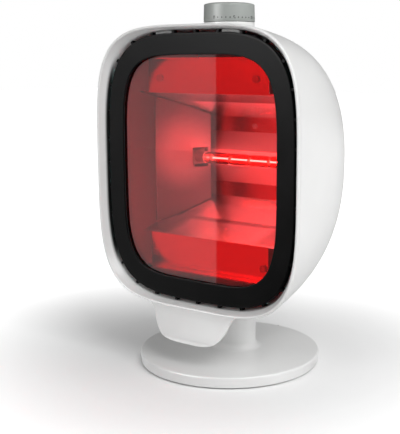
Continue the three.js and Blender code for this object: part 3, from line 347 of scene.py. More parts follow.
def moulded(name, color, roughness, grain=900, height=0.02, shift=0.02, **sockets):
    """Moulded plastic: faint flow clouds in the colour, uneven gloss and a fine grain."""
    made = Shader(name, color, roughness, **sockets)
    dark, light = (tuple(min(c * (1 + side * shift), 1) for c in color) for side in (-1, 1))
    made.vary_color(made.noise(FLOW_SCALE, 4), dark, light)
    made.vary_roughness(made.noise(GLOSS_SCALE, 3), roughness * (1 - GLOSS_SPREAD),
                        roughness * (1 + GLOSS_SPREAD))
    made.bump(made.noise(grain, 2), height)
    return made.material


def metal(name, color, roughness, stretch=(1, 1, 1), grain=700, height=0.01, uneven=0.17):
    """Metal with fine rolling or turning lines along the way that it was worked."""
    made = Shader(name, color, roughness, metallic=1.0)
    lines = made.noise(grain, 3, stretch)
    made.vary_color(made.noise(TONE_SCALE, 3), tuple(c * TONE_LEAST for c in color), color)
    made.vary_roughness(lines, roughness * (1 - uneven), roughness * (1 + uneven))
    made.bump(lines, height)
    return made.material


# The mirror's painted shade and its roughness, in millimetres above the lamp's axis where it goes by height
MIRROR_COLOR, MIRROR_ROUGHNESS, END_ROUGHNESS, NEAR_ROUGHNESS = (0.93, 0.93, 0.935), 0.22, 0.32, 0.45
ROLLING = {"scale": 60, "detail": 3, "stretch": (0.2, 6, 6)}
ROLLING_HEIGHT = 0.0001
LAMP_HEIGHT = HEAD_HEIGHT + LAMP_RISE
TROUGH_EDGE, NEAR_EDGE, END_FADE = (60.0, 61.8), (22.5, 24.5), (38, 52)
FOLD_START, FOLD_END, LIP_EDGE = (52.3, 53.6), (61.0, 61.6), (-89.9, -89.6)
SHADE_LINE, SHADE_LINE_FADE = -52.7, (0.3, 1.4)
END_TONE, FOLD_TONE, LIP_TONE, SHADE_LINE_TONE = 0.4, 0.2, 0.55, 0.45
SHINE_DEPTH, SHINE_HEIGHT, SHINE_FADE, SHINE_TONE = 10, 183, (10, 42), 0.36
BLANK = (0, 0, 0)


def folded_mirror():
    """Bright sheet with painted shade in its first upper fold, on its lower lip, along a line below the
    lamp and by its ends; satin near the lamp.
    """
    made = Shader("mirror_metal", MIRROR_COLOR, MIRROR_ROUGHNESS, metallic=1.0)
    made.bump(made.noise(**ROLLING), ROLLING_HEIGHT)
    x, _, z = made.place_apart()
    rise = made.math("SUBTRACT", z, LAMP_HEIGHT * MM)
    away = made.math("ABSOLUTE", rise)
    in_trough = made.reach(away, *TROUGH_EDGE, 1, 0)
    by_ends = made.reach(made.math("ABSOLUTE", x), *END_FADE, 0, 1 - END_TONE)
    ends = made.math("MULTIPLY", in_trough, by_ends)
    below = made.reach(rise, *FOLD_END, 1, 0)
    fold = made.math("MULTIPLY", made.reach(rise, *FOLD_START, 0, 1 - FOLD_TONE), below)
    lip = made.reach(rise, *LIP_EDGE, 1 - LIP_TONE, 0)
    from_shade_line = made.math("ABSOLUTE", made.math("SUBTRACT", rise, SHADE_LINE * MM))
    shade_line = made.reach(from_shade_line, *SHADE_LINE_FADE, 1 - SHADE_LINE_TONE, 0)
    # Painted shade: the mirror's colour goes to black in these bands and towards its ends
    painted_shade = ends
    for other in (fold, lip, shade_line):
        painted_shade = made.math("MAXIMUM", painted_shade, other)
    made.mix_color(painted_shade, MIRROR_COLOR, BLANK)
    made.link(made.reach(away, *NEAR_EDGE, NEAR_ROUGHNESS, MIRROR_ROUGHNESS), made.bsdf.inputs["Roughness"])
    return made.material


def mirror_end():
    """The trough's slanted end: bright beside the lamp, with painted shade towards its corners."""
    made = Shader("mirror_end_metal", MIRROR_COLOR, END_ROUGHNESS, metallic=1.0)
    made.bump(made.noise(**ROLLING), ROLLING_HEIGHT)
    flat = made.node("ShaderNodeVectorMath", operation="MULTIPLY_ADD")
    flat.inputs[1].default_value = (0, 1, 1)
    flat.inputs[2].default_value = (0, -SHINE_DEPTH * MM, -SHINE_HEIGHT * MM)
    made.link(made.place, flat.inputs[0])
    far = made.node("ShaderNodeVectorMath", operation="LENGTH")
    made.link(flat.outputs[0], far.inputs[0])
    # Painted shade: full colour at a spot beside the lamp, darker towards the corners
    made.mix_color(made.reach(far.outputs["Value"], *SHINE_FADE, 1, SHINE_TONE), BLANK, MIRROR_COLOR)
    return made.material


TINT_SCALE, RIPPLE_SCALE, RIPPLE_HEIGHT, HAZE_SCALE = 6, 9, 0.015, 300


def tinted_glass():
    """Red filter glass: smooth faces, colour in the glass itself, hardly any ripple."""
    made = Shader("red_glass", (0.86, 0.052, 0.055), 0.02, IOR=1.75, Transmission_Weight=1.0)
    made.vary_color(made.noise(TINT_SCALE, 2), (0.85, 0.049, 0.052), (0.87, 0.055, 0.058))
    made.bump(made.noise(RIPPLE_SCALE, 2), RIPPLE_HEIGHT)
    return made.material


def clear_quartz():
    """Quartz with the tint of the glow in it, a little hazy in places."""
    made = Shader("quartz", (0.95, 0.25, 0.22), 0.01, IOR=1.4, Transmission_Weight=1.0)
    made.vary_roughness(made.noise(HAZE_SCALE, 2), 0.0, 0.02)
    return made.material


SUPPORT_PITCH, SUPPORT_GAP, COIL_SCALE = 21, 0.9, 900
HEAT_COLOR, HEAT_LEAST, HEAT_SPREAD = (0.45, 1.0, 0.97, 1), 520, 240


def hot_tungsten():
    """The glowing coil: a little darker between its turns, and dark at its supports."""
    made = Shader("tungsten", (0.9, 0.75, 0.55), 0.5, Emission_Color=HEAT_COLOR)
    waves = made.node("ShaderNodeTexWave", bands_direction="X")
    waves.inputs["Scale"].default_value = COIL_SCALE
    made.link(made.place, waves.inputs["Vector"])
    x, _, _ = made.place_apart()
    from_support = made.math("PINGPONG", x, SUPPORT_PITCH / 2 * MM)
    lit = made.math("GREATER_THAN", from_support, SUPPORT_GAP * MM)
    heat = made.math("MULTIPLY_ADD", waves.outputs["Fac"], HEAT_SPREAD, HEAT_LEAST)
    made.link(made.math("MULTIPLY", heat, lit), made.bsdf.inputs["Emission Strength"])
    return made.material


WHITE_COLOR, WHITE_ROUGHNESS = (0.80, 0.80, 0.795), 0.34
WHITE_SHADES = ((0.784, 0.784, 0.779), (0.816, 0.816, 0.811))
WHITE_COAT = {"Coat_Weight": 0.15, "Coat_Roughness": 0.25}
GAP_SHADE_COLOR, GAP_SHADE_BESIDE, GAP_SHADE_DEPTH = (0.012, 0.012, 0.012), (82, 94), (-57.5, -54.5)


def rim_plastic():
    """The shell's white, with black painted shade on the flanks of the gap round the window ring."""
    made = Shader("rim_plastic", WHITE_COLOR, WHITE_ROUGHNESS, **WHITE_COAT)
    x, y, _ = made.place_apart()
    # Painted shade: the gap's side flanks behind the ring go black where shade falls
    beside = made.reach(made.math("ABSOLUTE", x), *GAP_SHADE_BESIDE, 0, 1)
    gap_shade = made.math("MULTIPLY", beside, made.reach(y, *GAP_SHADE_DEPTH, 0, 1))
    white = made.vary_color(made.noise(FLOW_SCALE, 4), *WHITE_SHADES)
    made.mix_color(gap_shade, white, GAP_SHADE_COLOR)
    made.vary_roughness(made.noise(GLOSS_SCALE, 3), 0.31, 0.37)
    made.bump(made.noise(900, 2), 0.02)
    return made.material


RIM_WHITE = rim_plastic()
WHITE = moulded("white_plastic", WHITE_COLOR, WHITE_ROUGHNESS, **WHITE_COAT)
BLACK = moulded("black_plastic", (0.004, 0.004, 0.0042), 0.36, grain=1400, height=0.02, shift=0.15,
                 Specular_IOR_Level=0.1)
FLOOR_BLACK = moulded("floor_plastic", (0.02, 0.02, 0.021), 0.55, grain=800, height=0.05, shift=0.1)
GREY = moulded("grey_plastic", (0.34, 0.36, 0.345), 0.4, grain=1100, height=0.02, shift=0.03)
CLIP = moulded("clip_plastic", (0.25, 0.255, 0.25), 0.5)
INK = moulded("scale_ink", (0.05, 0.052, 0.052), 0.5)
NYLON = moulded("black_nylon", (0.016, 0.016, 0.018), 0.5, grain=1200, height=0.03, shift=0.12)
CERAMIC = moulded("ceramic", (0.68, 0.66, 0.6), 0.6, grain=500, height=0.06, shift=0.04)
RUBBER = moulded("rubber", (0.02, 0.02, 0.021), 0.8, grain=600, height=0.06, shift=0.15)
SILICONE = moulded("silicone", (0.012, 0.012, 0.013), 0.7, grain=500, height=0.03, shift=0.1)
STEEL = metal("steel", (0.60, 0.61, 0.62), 0.28, (1, 1, 6))
IRON = metal("iron", (0.10, 0.10, 0.105), 0.6, (1, 1, 1), 300, 0.15)
MIRROR = folded_mirror()
MIRROR_END = mirror_end()
RED_GLASS = tinted_glass()
QUARTZ = clear_quartz()
TUNGSTEN = hot_tungsten()


# Head form and rear shell

def head_section(depth_share, inset=0.0):
    """Half width, half height, exponent and rise of the head at a share of its depth."""
    size = (1 - TAPER_SHARE * depth_share) * (1 - depth_share ** BACK_ROUNDNESS) ** (1 / BACK_ROUNDNESS)
    exponent = FRONT_EXPONENT + (BACK_EXPONENT - FRONT_EXPONENT) * depth_share
    return ((HEAD_HALF_WIDTH - inset) * size, (HEAD_HALF_HEIGHT - inset) * size, exponent,
            HEAD_DEPTH * BACK_LIFT_SHARE * depth_share ** 2)


def head_ring(depth, inset, sides=OUTLINE_SIDES):
    width, height, exponent, rise = head_section(depth / HEAD_DEPTH, inset)
    return outline(width, height, exponent, depth, rise, sides)


POLE_STEP = 0.6


def head_rings(front, inset, count, sides=OUTLINE_SIDES):
    """Rings from a depth to just before the pole, closer towards it, and the pole."""
    back = min(HEAD_DEPTH, CAD_BOX[1].y / MM - HEAD_ORIGIN[1]) - inset
    depth = HEAD_DEPTH - inset
    start = math.asin((front / depth) ** (BACK_ROUNDNESS / 2))
    rings = []
    for i in range(count):
        share = math.sin(start + (math.pi / 2 - start) * i / (count - POLE_STEP)) ** (2 / BACK_ROUNDNESS)
        width, height, exponent, rise = head_section(share, inset)
        rings.append(outline(width, height, exponent, min(depth * share, back), rise, sides))
    return rings, (0, back, HEAD_DEPTH * BACK_LIFT_SHARE)


# Where the four screw wells stand, across and up from the head's middle
WELLS = [(-28, 102.5), (28, 102.5), (-38, -102.5), (38, -102.5)]
WELL_RADIUS, WELL_WALL, WELL_SEAT, WELL_FLOOR, WELL_INSET = 3.7, 1.8, 24, 2.4, 0.4
GRILLE_RADIUS, GRILLE_RISE, GRILLE_FRONT, SLOT_PITCH, SLOT_HEIGHT, SLOT_COUNT = 42, 4, 134, 8.4, 3.8, 9
COLLAR_FOOT, COLLAR_EDGE = 106, 0.6
COLUMN_ROOM, COLUMN_CORNER, TILT_RANGE = 1.6, 3, 40
BUSHING_RADIUS, BUSHING_LOW, BUSHING_HIGH = 5.3, 100, 124
KNOB_AXIS = (0, HEAD_FRONT, 0)


def well_bars(radius, start):
    """Bars along the four screw wells, from a depth to behind the head."""
    return [bar(radius, start, HEAD_DEPTH, 40, (x, 0, z), "y") for x, z in WELLS]


def slot_outline(half_length, rise):
    radius = SLOT_HEIGHT / 2
    return (arc(half_length - radius, rise, radius, -90, 90, 8)
            + arc(radius - half_length, rise, radius, 90, 270, 8))


def rear_shell():
    outer, outer_pole = head_rings(RIM_DEPTH + FIT, 0, 56)
    inner, inner_pole = head_rings(RIM_BACK + 2 * FIT, SHELL_WALL, 30)
    lip = [head_ring(d, SHELL_LIP) for d in (RIM_DEPTH + FIT, RIM_BACK + FIT)]
    rings = outer[::-1] + lip + inner
    shell = mesh_object("rear_shell_piece", *loft(rings, poles=(outer_pole, inner_pole)))
    top = KNOB_RISE - HEAD_HEIGHT - FIT
    collar = lathe([(0, COLLAR_FOOT), (COLLAR_RADIUS, COLLAR_FOOT),
                    *arc(COLLAR_RADIUS - COLLAR_EDGE, top - COLLAR_EDGE, COLLAR_EDGE, 0, 90, 4), (0, top)],
                   128, KNOB_AXIS)
    boolean(shell, "UNION", collar)
    posts = mesh_object("posts", *merged(*well_bars(WELL_RADIUS + WELL_WALL, WELL_SEAT)))
    body, body_pole = head_rings(RIM_DEPTH + FIT, WELL_INSET, 30, 96)
    boolean(posts, "INTERSECT", loft(body, poles=(None, body_pole)))
    modifier = shell.modifiers.new("wells", "BOOLEAN")
    modifier.operation, modifier.solver, modifier.object = "UNION", "EXACT", posts
    apply_modifiers(shell)
    bpy.data.objects.remove(posts)
    slots = []
    for i in range(SLOT_COUNT):
        rise = (i - (SLOT_COUNT - 1) / 2) * SLOT_PITCH
        half = math.sqrt(GRILLE_RADIUS ** 2 - rise ** 2)
        slots.append(prism(slot_outline(half, rise + GRILLE_RISE), GRILLE_FRONT, HEAD_DEPTH + OVERRUN))
    wells = well_bars(WELL_RADIUS, WELL_SEAT + WELL_FLOOR)
    bushing = bar(BUSHING_RADIUS, BUSHING_LOW, BUSHING_HIGH, 40, KNOB_AXIS)
    boolean(shell, "DIFFERENCE", *wells, *slots, column_slot(), bushing)
    bevel(shell, width=0.45, segments=2, angle=40)
    finish_piece(shell, "head", WHITE, "white_plastic", "rear_shell")


def column_slot():
    """The slot in the head's floor that lets the column through over the whole tilt."""
    pin_depth = HEAD_FRONT + COLUMN_BACK
    _, half_height, _, rise = head_section(pin_depth / HEAD_DEPTH)
    reach = half_height - rise + TILT_RISE - HEAD_HEIGHT
    tilt = math.radians(TILT_RANGE)
    back = pin_depth + TONGUE_HALF_DEPTH / math.cos(tilt) + reach * math.tan(tilt) + COLUMN_ROOM
    half_width, front = TONGUE_HALF_WIDTH + COLUMN_ROOM, pin_depth - TONGUE_HALF_DEPTH - COLUMN_ROOM
    shape = rounded(-half_width, front, half_width, back, COLUMN_CORNER)
    return prism(shape, -HEAD_HALF_HEIGHT - OVERRUN, TILT_RISE - HEAD_HEIGHT - OVERRUN, "z")


def rounded(x0, y0, x1, y1, radius, steps=6):
    """A rectangle with round corners."""
    return (arc(x1 - radius, y1 - radius, radius, 0, 90, steps)
            + arc(x0 + radius, y1 - radius, radius, 90, 180, steps)
            + arc(x0 + radius, y0 + radius, radius, 180, 270, steps)
            + arc(x1 - radius, y0 + radius, radius, 270, 360, steps))


# Front rim with the tab

THROAT_TAPER, RIM_ROUND, MOUTH_ROUND, MOUTH_CUT, CREST_OUT, CREST_OUT_TOP = 1.2, 1.7, 1.5, 1.4, 1.4, 1.3


def throat_ring(depth):
    taper = THROAT_TAPER * (depth - RING_SINK) / (RIM_BACK - RING_SINK)
    return outline(*widened(THROAT, -taper), depth)


def blend_rings(first, second, share):
    return np.array(first) * (1 - share) + np.array(second) * share


def front_rim():
    half_width, half_height, exponent = OPENING
    crest = outline(half_width + CREST_OUT, half_height + CREST_OUT_TOP, exponent, 0.0)
    outside = head_ring(RIM_ROUND, 0.0)
    mouth = outline(*OPENING, MOUTH_ROUND)
    throat = throat_ring(RING_SINK)
    rings = [head_ring(RIM_DEPTH, 0.0), outside]
    for angle in np.radians((25, 50, 72, 90)):
        ring = blend_rings(outside, crest, 1 - math.cos(angle))
        ring[:, 1] = RIM_ROUND * (1 - math.sin(angle))
        rings.append(ring)
    for angle in np.radians((30, 60, 90)):
        ring = blend_rings(crest, mouth, math.sin(angle))
        ring[:, 1] = MOUTH_ROUND * (1 - math.cos(angle))
        rings.append(ring)
    rings += [blend_rings(mouth, throat, share) for share in (0.33, 0.66)]
    rings += [throat, throat_ring(RIM_BACK)]
    rings += [head_ring(depth, SHELL_LIP + FIT) for depth in (RIM_BACK, RIM_DEPTH)]
    rim = mesh_object("front_rim_piece", *loft(rings, band=True))
    boolean(rim, "UNION", tab_solid())
    boolean(rim, "DIFFERENCE", loft([outline(*OPENING, d) for d in (-OVERRUN, MOUTH_CUT)]))
    finish_piece(rim, "head", RIM_WHITE, "white_plastic", "front_rim")


TAB_HALF_WIDTH, TAB_LENGTH, TAB_TOP, TAB_CURL, TAB_THICKNESS = 46, 29.5, -115.9, 7.9, 2.6
TAB_FRONT, TAB_STRAIGHT_SHARE, TAB_CURL_POWER, TAB_EDGE = 0.4, 0.037, 1.5, 0.8
TAB_ROWS, TAB_TIP, TAB_TIP_GROWTH, TAB_TIP_THICKNESS, EDGE_SHARE = 37, 0.25, 6, 0.45, 0.95
# How far down the tab, and how wide it is there
TAB_SHARES = [(0, 1), (0.112, 0.943), (0.18, 0.898), (0.275, 0.863), (0.4, 0.835), (0.495, 0.807),
              (0.614, 0.763), (0.732, 0.709), (0.817, 0.652), (0.885, 0.598), (0.942, 0.507), (0.98, 0.391),
              (1, 0.25)]


def tab_solid():
    """The tab curls forward and grows thin at its round lower edge."""
    drops, widths = zip(*TAB_SHARES)
    rows = []
    for drop in np.interp(np.linspace(0, len(drops) - 1, TAB_ROWS), range(len(drops)), drops):
        half = TAB_HALF_WIDTH * float(np.interp(drop, drops, widths))
        curled = max(0, drop - TAB_STRAIGHT_SHARE) / (1 - TAB_STRAIGHT_SHARE)
        middle = TAB_FRONT - TAB_CURL * curled ** TAB_CURL_POWER + TAB_THICKNESS / 2
        full = min(1, TAB_TIP + TAB_TIP_GROWTH * (1 - drop))
        reach = TAB_THICKNESS / 2 * (TAB_TIP_THICKNESS + (1 - TAB_TIP_THICKNESS) * full)
        edge = min(TAB_EDGE * full, EDGE_SHARE * reach)
        section = rounded(-half, middle - reach, half, middle + reach, edge, 3)
        rows.append([(x, depth, TAB_TOP - TAB_LENGTH * drop) for x, depth in section])
    return loft(rows)


# Black ring and glass

VENT_GAP, RIB_PITCH, RIB_HALF, RIB_SINK = 3.1, 22.5, 1.1, 0.8
RIB_DEPTH, RIB_ROOT, RIB_REACH = 4.6, 1.2, 2.05
RING_OUT = widened(THROAT, -VENT_GAP)
# How far the ring's section stands out from its outer outline and from the window, and how deep it lies
OUTER_STEPS = [(0, 1.0), (-0.3, 0.3), (-1.0, 0), (-1.15, 0)]
INNER_STEPS = [(0.75, 0), (0.6, 0), (0.17, 0.17), (0, 0.6), (0, RING_REBATE), (4.3, RING_REBATE),
               (4.3, RING_BACK - RING_SINK)]


def even_places(half_width, half_height, exponent, pitch):
    """Evenly spaced places round an outline, with the angle of the way outward."""
    fine = outline(half_width, half_height, exponent, 0, 0, FINE_SIDES)
    total = sum(np.linalg.norm(fine - np.roll(fine, -1, axis=0), axis=1))
    count = 4 * round(total / pitch / 4)
    places = []
    for n in range(count):
        i = round(n * FINE_SIDES / count) % FINE_SIDES
        a, b = fine[i - 1], fine[(i + 1) % FINE_SIDES]
        places.append((fine[i][0], fine[i][2], math.atan2(b[2] - a[2], b[0] - a[0]) - math.pi / 2))
    return places


def window_ring():
    steps = [(widened(RING_OUT, by), RING_SINK + depth) for by, depth in OUTER_STEPS]
    steps += [(widened(WINDOW, by), RING_SINK + depth) for by, depth in INNER_STEPS]
    steps.append((RING_OUT, RING_BACK))
    rings = [outline(*shape, depth) for shape, depth in steps]
    ring = mesh_object("window_ring_piece", *loft(rings, band=True))
    ribs = []
    for x, z, turn in even_places(*RING_OUT, RIB_PITCH):
        points, faces = box((-RIB_ROOT, RING_SINK + RIB_SINK, -RIB_HALF),
                            (RIB_REACH, RING_SINK + RIB_SINK + RIB_DEPTH, RIB_HALF))
        c, s = math.cos(turn), math.sin(turn)
        turned = [(x + px * c - pz * s, py, z + px * s + pz * c) for px, py, pz in points]
        ribs.append((turned, faces))
    boolean(ring, "UNION", *ribs)
    finish_piece(ring, "head", BLACK, "black_plastic", "window_ring")


def glass_pane():
    steps = [(-GLASS_EDGE, GLASS_FRONT), (0, GLASS_FRONT + GLASS_EDGE), (0, GLASS_BACK - GLASS_EDGE),
             (-GLASS_EDGE, GLASS_BACK)]
    rings = [outline(*widened(WINDOW, GLASS_OVERLAP + by), depth) for by, depth in steps]
    pane = mesh_object("red_window_piece", *loft(rings))
    finish_piece(pane, "head", RED_GLASS, "red_glass", "red_window")


# Lamp and rivet

LAMP_SUPPORTS = [n * SUPPORT_PITCH for n in (-2, -1, 0, 1, 2)]
TUBE_HALF, TUBE_WALL, NECK_DEPTH, NECK_LENGTH = 48.5, 1.0, 0.75, 1.5
COIL_HALF, COIL_END, COIL_RADIUS, LEAD_RADIUS, HOLDER_RADIUS = 48.3, 43, 0.75, 0.3, 3.1
HOLDER_STEPS = [(COIL_RADIUS, 0.7), (COIL_RADIUS, 0.4), (HOLDER_RADIUS, 0.3)]
RIVET_PLACE = (-7, 108.5, LAMP_RISE + 29.6)
# The rivet's shank and dome, as radius and depth
RIVET = [(0, 0.8), (1.1, 0.8), (1.1, -0.02), (2.6, -0.02), (2.5, -0.4), (2.1, -0.75), (1.4, -1.0),
         (0.6, -1.12), (0, -1.15)]


def lamp_tube():
    """The quartz tube draws in at each filament support and at its ends."""
    necks = LAMP_SUPPORTS + [-TUBE_HALF, TUBE_HALF]
    outer = []
    for place in np.linspace(-TUBE_HALF, TUBE_HALF, 195):
        near = min(abs(place - neck) for neck in necks)
        outer.append((LAMP_RADIUS - NECK_DEPTH * math.exp(-(near / NECK_LENGTH) ** 2), place))
    profile = outer + [(radius - TUBE_WALL, place) for radius, place in reversed(outer)]
    tube = mesh_object("lamp_tube_piece", *lathe(profile, 40, (0, LAMP_DEPTH, LAMP_RISE), "x"))
    tube.visible_shadow = False
    finish_piece(tube, "head", QUARTZ, "quartz_glass", "lamp_tube")


def mirror_rivet():
    """The domed rivet on the mirror's back strip above the lamp."""
    rivet = mesh_object("mirror_rivet", *lathe(RIVET, 24, RIVET_PLACE, "y"))
    finish_piece(rivet, "head", STEEL, "steel")


def lamp_filament():
    """A straight coil between ring supports, thin at the ends."""
    profile = [(0, -COIL_HALF), (LEAD_RADIUS, -COIL_HALF), (LEAD_RADIUS, -COIL_END)]
    for place in LAMP_SUPPORTS:
        profile += [(radius, place - away) for radius, away in HOLDER_STEPS]
        profile += [(radius, place + away) for radius, away in reversed(HOLDER_STEPS)]
    profile += [(LEAD_RADIUS, COIL_END), (LEAD_RADIUS, COIL_HALF), (0, COIL_HALF)]
    coil = mesh_object("lamp_filament_piece", *lathe(profile, 20, (0, LAMP_DEPTH, LAMP_RISE), "x"))
    finish_piece(coil, "head", TUNGSTEN, "tungsten", "lamp_filament")


# Knob

# The knob's outside: how far in from its radius, and how far up from its foot or down from its top
KNOB_SIDE = [(0.35, 0), (0, 0.35), (0, 1.2), (0.35, 1.35), (0.35, 1.65), (0.08, 1.8)]
KNOB_CROWN = [(4, 0.55), (9, 0.15)]
KNOB_DRAFT, KNOB_DRAFT_END, KNOB_EDGE, KNOB_EDGE_IN, KNOB_EDGE_DOWN = 0.4, 3.4, 1.6, 2.0, 2.6
KNOB_ROOF, KNOB_WALL = 11.9, 2.5
KNOB_FOOT = KNOB_RISE - HEAD_HEIGHT


def knob():
    top = KNOB_FOOT + KNOB_HEIGHT
    inside, roof = KNOB_RADIUS - KNOB_WALL, KNOB_FOOT + KNOB_ROOF
    profile = [(0, roof), (inside, roof), (inside, KNOB_FOOT)]
    profile += [(KNOB_RADIUS - inward, KNOB_FOOT + up) for inward, up in KNOB_SIDE]
    profile.append((KNOB_RADIUS - KNOB_DRAFT, top - KNOB_DRAFT_END))
    profile += arc(KNOB_RADIUS - KNOB_EDGE_IN, top - KNOB_EDGE_DOWN, KNOB_EDGE, 0, 60, 6)
    profile += [(KNOB_RADIUS - inward, top - down) for inward, down in KNOB_CROWN]
    profile.append((0, top))
    piece = mesh_object("timer_knob_piece", *lathe(profile, 160, KNOB_AXIS))
    finish_piece(piece, "knob", GREY, "grey_plastic", "timer_knob")


MINUTES, MINUTE_TURN, NUMBER_EVERY, SCALE_RISE = 15, 9.3, 5, 3.1
DOT_RADIUS, DIGIT_PITCH, STROKE_HALF, INK_ROOT, INK_FACE = 0.6, 2.0, 0.26, 0.6, 0.09
DIGITS = {"0": "abcdef", "1": "bc", "5": "afgcd"}
STROKES = {"a": ((-0.6, 1.1), (0.6, 1.1)), "b": ((0.6, 1.1), (0.6, 0)), "c": ((0.6, 0), (0.6, -1.1)),
           "d": ((0.6, -1.1), (-0.6, -1.1)), "e": ((-0.6, -1.1), (-0.6, 0)), "f": ((-0.6, 0), (-0.6, 1.1)),
           "g": ((-0.6, 0), (0.6, 0))}


def stroke_outline(stroke):
    """The corners of a digit's stroke; an upright one runs past its ends by half its width."""
    (u0, v0), (u1, v1) = STROKES[stroke]
    wide = STROKE_HALF if u0 == u1 else 0
    left, right = min(u0, u1) - wide, max(u0, u1) + wide
    low, high = min(v0, v1) - STROKE_HALF, max(v0, v1) + STROKE_HALF
    return (left, low), (right, low), (right, high), (left, high)


def scale_marks():
    """The minutes on the knob's side: a dot for each, and a number at every fifth."""
    flat = []
    for minute in range(MINUTES + 1):
        middle = math.radians(minute * MINUTE_TURN) * KNOB_RADIUS
        if minute % NUMBER_EVERY:
            flat.append([(middle + u, SCALE_RISE + v) for u, v in arc(0, 0, DOT_RADIUS, 0, 324, 9)])
            continue
        digits = str(minute)
        for n, digit in enumerate(digits):
            shift = middle + DIGIT_PITCH * (n - (len(digits) - 1) / 2)
            for stroke in DIGITS[digit]:
                flat.append([(shift + u, SCALE_RISE + v) for u, v in stroke_outline(stroke)])
    marks = []
    for shape in flat:
        rings = []
        for radius in (KNOB_RADIUS - INK_ROOT, KNOB_RADIUS - INK_FACE):
            turned = [(u / KNOB_RADIUS, KNOB_FOOT + v) for u, v in shape]
            rings.append([(radius * math.sin(turn), HEAD_FRONT - radius * math.cos(turn), height)
                          for turn, height in turned])
        marks.append(loft(rings))
    piece = mesh_object("timer_scale", *merged(*marks))
    finish_piece(piece, "knob", INK, "grey_plastic")


# Foot

FOOT_LOW, FOOT_HOLLOW, FOOT_DRAFT, FOOT_CHAMFER, FOOT_EDGE = 1.2, 75, 0.6, 0.3, 1.6
COLUMN_LAP, FLARE_LIP, FLARE_RISE, TONGUE_FOOT = 0.5, 0.4, 0.01, 44
PIN_HOLE, PIN_REACH = 3.35, 20
CABLE_HOLE, CABLE_RUN, CABLE_RISE = 3.6, (2, 14), 66.8
GLAND_HOLE, GLAND_RUN, GLAND_RISE = 3.3, (73, 84), 5.8


def foot_cover():
    """The disc with its column, which flares at the foot and ends in the tongue for the tilt pin."""
    top = FOOT_HEIGHT
    recess = top - FOOT_WALL
    side = FOOT_RADIUS - FOOT_DRAFT
    disc = [(0, recess), (FOOT_HOLLOW, recess), (FOOT_HOLLOW, FOOT_LOW), (side - FOOT_CHAMFER, FOOT_LOW),
            (side, FOOT_LOW + FOOT_CHAMFER),
            *arc(FOOT_RADIUS - FOOT_EDGE, top - FOOT_EDGE, FOOT_EDGE, 0, 90, 8), (0, top)]
    foot = mesh_object("foot_cover_piece", *lathe(disc, 192), origin=FOOT_ORIGIN)
    reach, root = COLUMN_RADIUS + FLARE, recess + COLUMN_LAP
    shoulder = arc(COLUMN_RADIUS - SHOULDER_ROUND, SHOULDER_RISE - SHOULDER_ROUND, SHOULDER_ROUND,
                   0, 90, 12)
    column = lathe([(0, root), (reach + FLARE_LIP, root), (reach + FLARE_LIP, top + FLARE_RISE),
                    *arc(reach, top + FLARE, FLARE, -90, -180, 12), *shoulder, (0, SHOULDER_RISE)],
                   96, (0, COLUMN_BACK, 0))
    front, back = COLUMN_BACK - TONGUE_HALF_DEPTH, COLUMN_BACK + TONGUE_HALF_DEPTH
    tongue_line = [(front, TONGUE_FOOT), (back, TONGUE_FOOT),
                   *arc(COLUMN_BACK, TILT_RISE, TONGUE_HALF_DEPTH, 0, 180, 24)]
    tongue = prism(tongue_line, -TONGUE_HALF_WIDTH, TONGUE_HALF_WIDTH, "x")
    boolean(foot, "UNION", column, origin=FOOT_ORIGIN)
    boolean(foot, "UNION", tongue, origin=FOOT_ORIGIN)
    pin = bar(PIN_HOLE, -PIN_REACH, PIN_REACH, 32, (0, COLUMN_BACK, TILT_RISE), "x")
    cable = bar(CABLE_HOLE, *CABLE_RUN, 24, (0, COLUMN_BACK, CABLE_RISE), "y")
    gland = bar(GLAND_HOLE, *GLAND_RUN, 32, (0, 0, GLAND_RISE), "y")
    boolean(foot, "DIFFERENCE", pin, cable, gland, origin=FOOT_ORIGIN)
    bevel(foot, width=0.4, segments=2, angle=50)
    finish_piece(foot, "foot", WHITE, "white_plastic", "foot_cover")


for make in (rear_shell, front_rim, window_ring, glass_pane, lamp_tube, lamp_filament, mirror_rivet, knob,
             scale_marks, foot_cover):
    make()


# Surfaces of the CAD parts that show

CAD_SHARP_ANGLE = 30
SURFACES = {
    "foot_weight": IRON, "foot_floor": FLOOR_BLACK, "cord_gland": FLOOR_BLACK,
    "floor_screw": STEEL, "rubber_pad": RUBBER, "tilt": STEEL, "bracket_screw": STEEL,
    "friction_washer": NYLON, "front_seal": SILICONE, "rear_seal": SILICONE,
    "reflector_end": MIRROR_END, "reflector": MIRROR,
    "mirror_screw": STEEL, "shell_screw": STEEL, "fan_screw": STEEL,
    "lamp_cap": CERAMIC, "lamp_holder": CERAMIC, "fan_frame": NYLON, "fan_rotor": NYLON,
    "timer_case": NYLON, "timer_nut": STEEL, "timer_shaft": STEEL, "terminal_block": CERAMIC,
    "thermal_cutout": STEEL, "ring_clip": CLIP,
}
for name, node in NODES.items():
    start = next((key for key in SURFACES if name.startswith(key)), None)
    if start:
        node.data.materials.clear()
        node.data.materials.append(SURFACES[start])
        shade(node, CAD_SHARP_ANGLE)


# Floor, light and camera

FULL_WHITE = (1, 1, 1, 1)
FLOOR = [(-6, -6, 0), (6, -6, 0), (6, 6, 0), (-6, 6, 0)]
PAPER_FADE, PAPER_THROUGH_GLASS = (80, 450), 0.25
POOL_SLANT, POOL_EDGE, POOL_TONES, RIGHT_EDGE = (-1, 0.7346, 0), (-58.5, -56.5), (0.08, 0.63), (50, 250)
WORLD_LIGHT = 0.336
WORLD_SEEN = (("Is Glossy Ray", 0.09), ("Is Transmission Ray", 0.76), ("Is Camera Ray", 1.0))
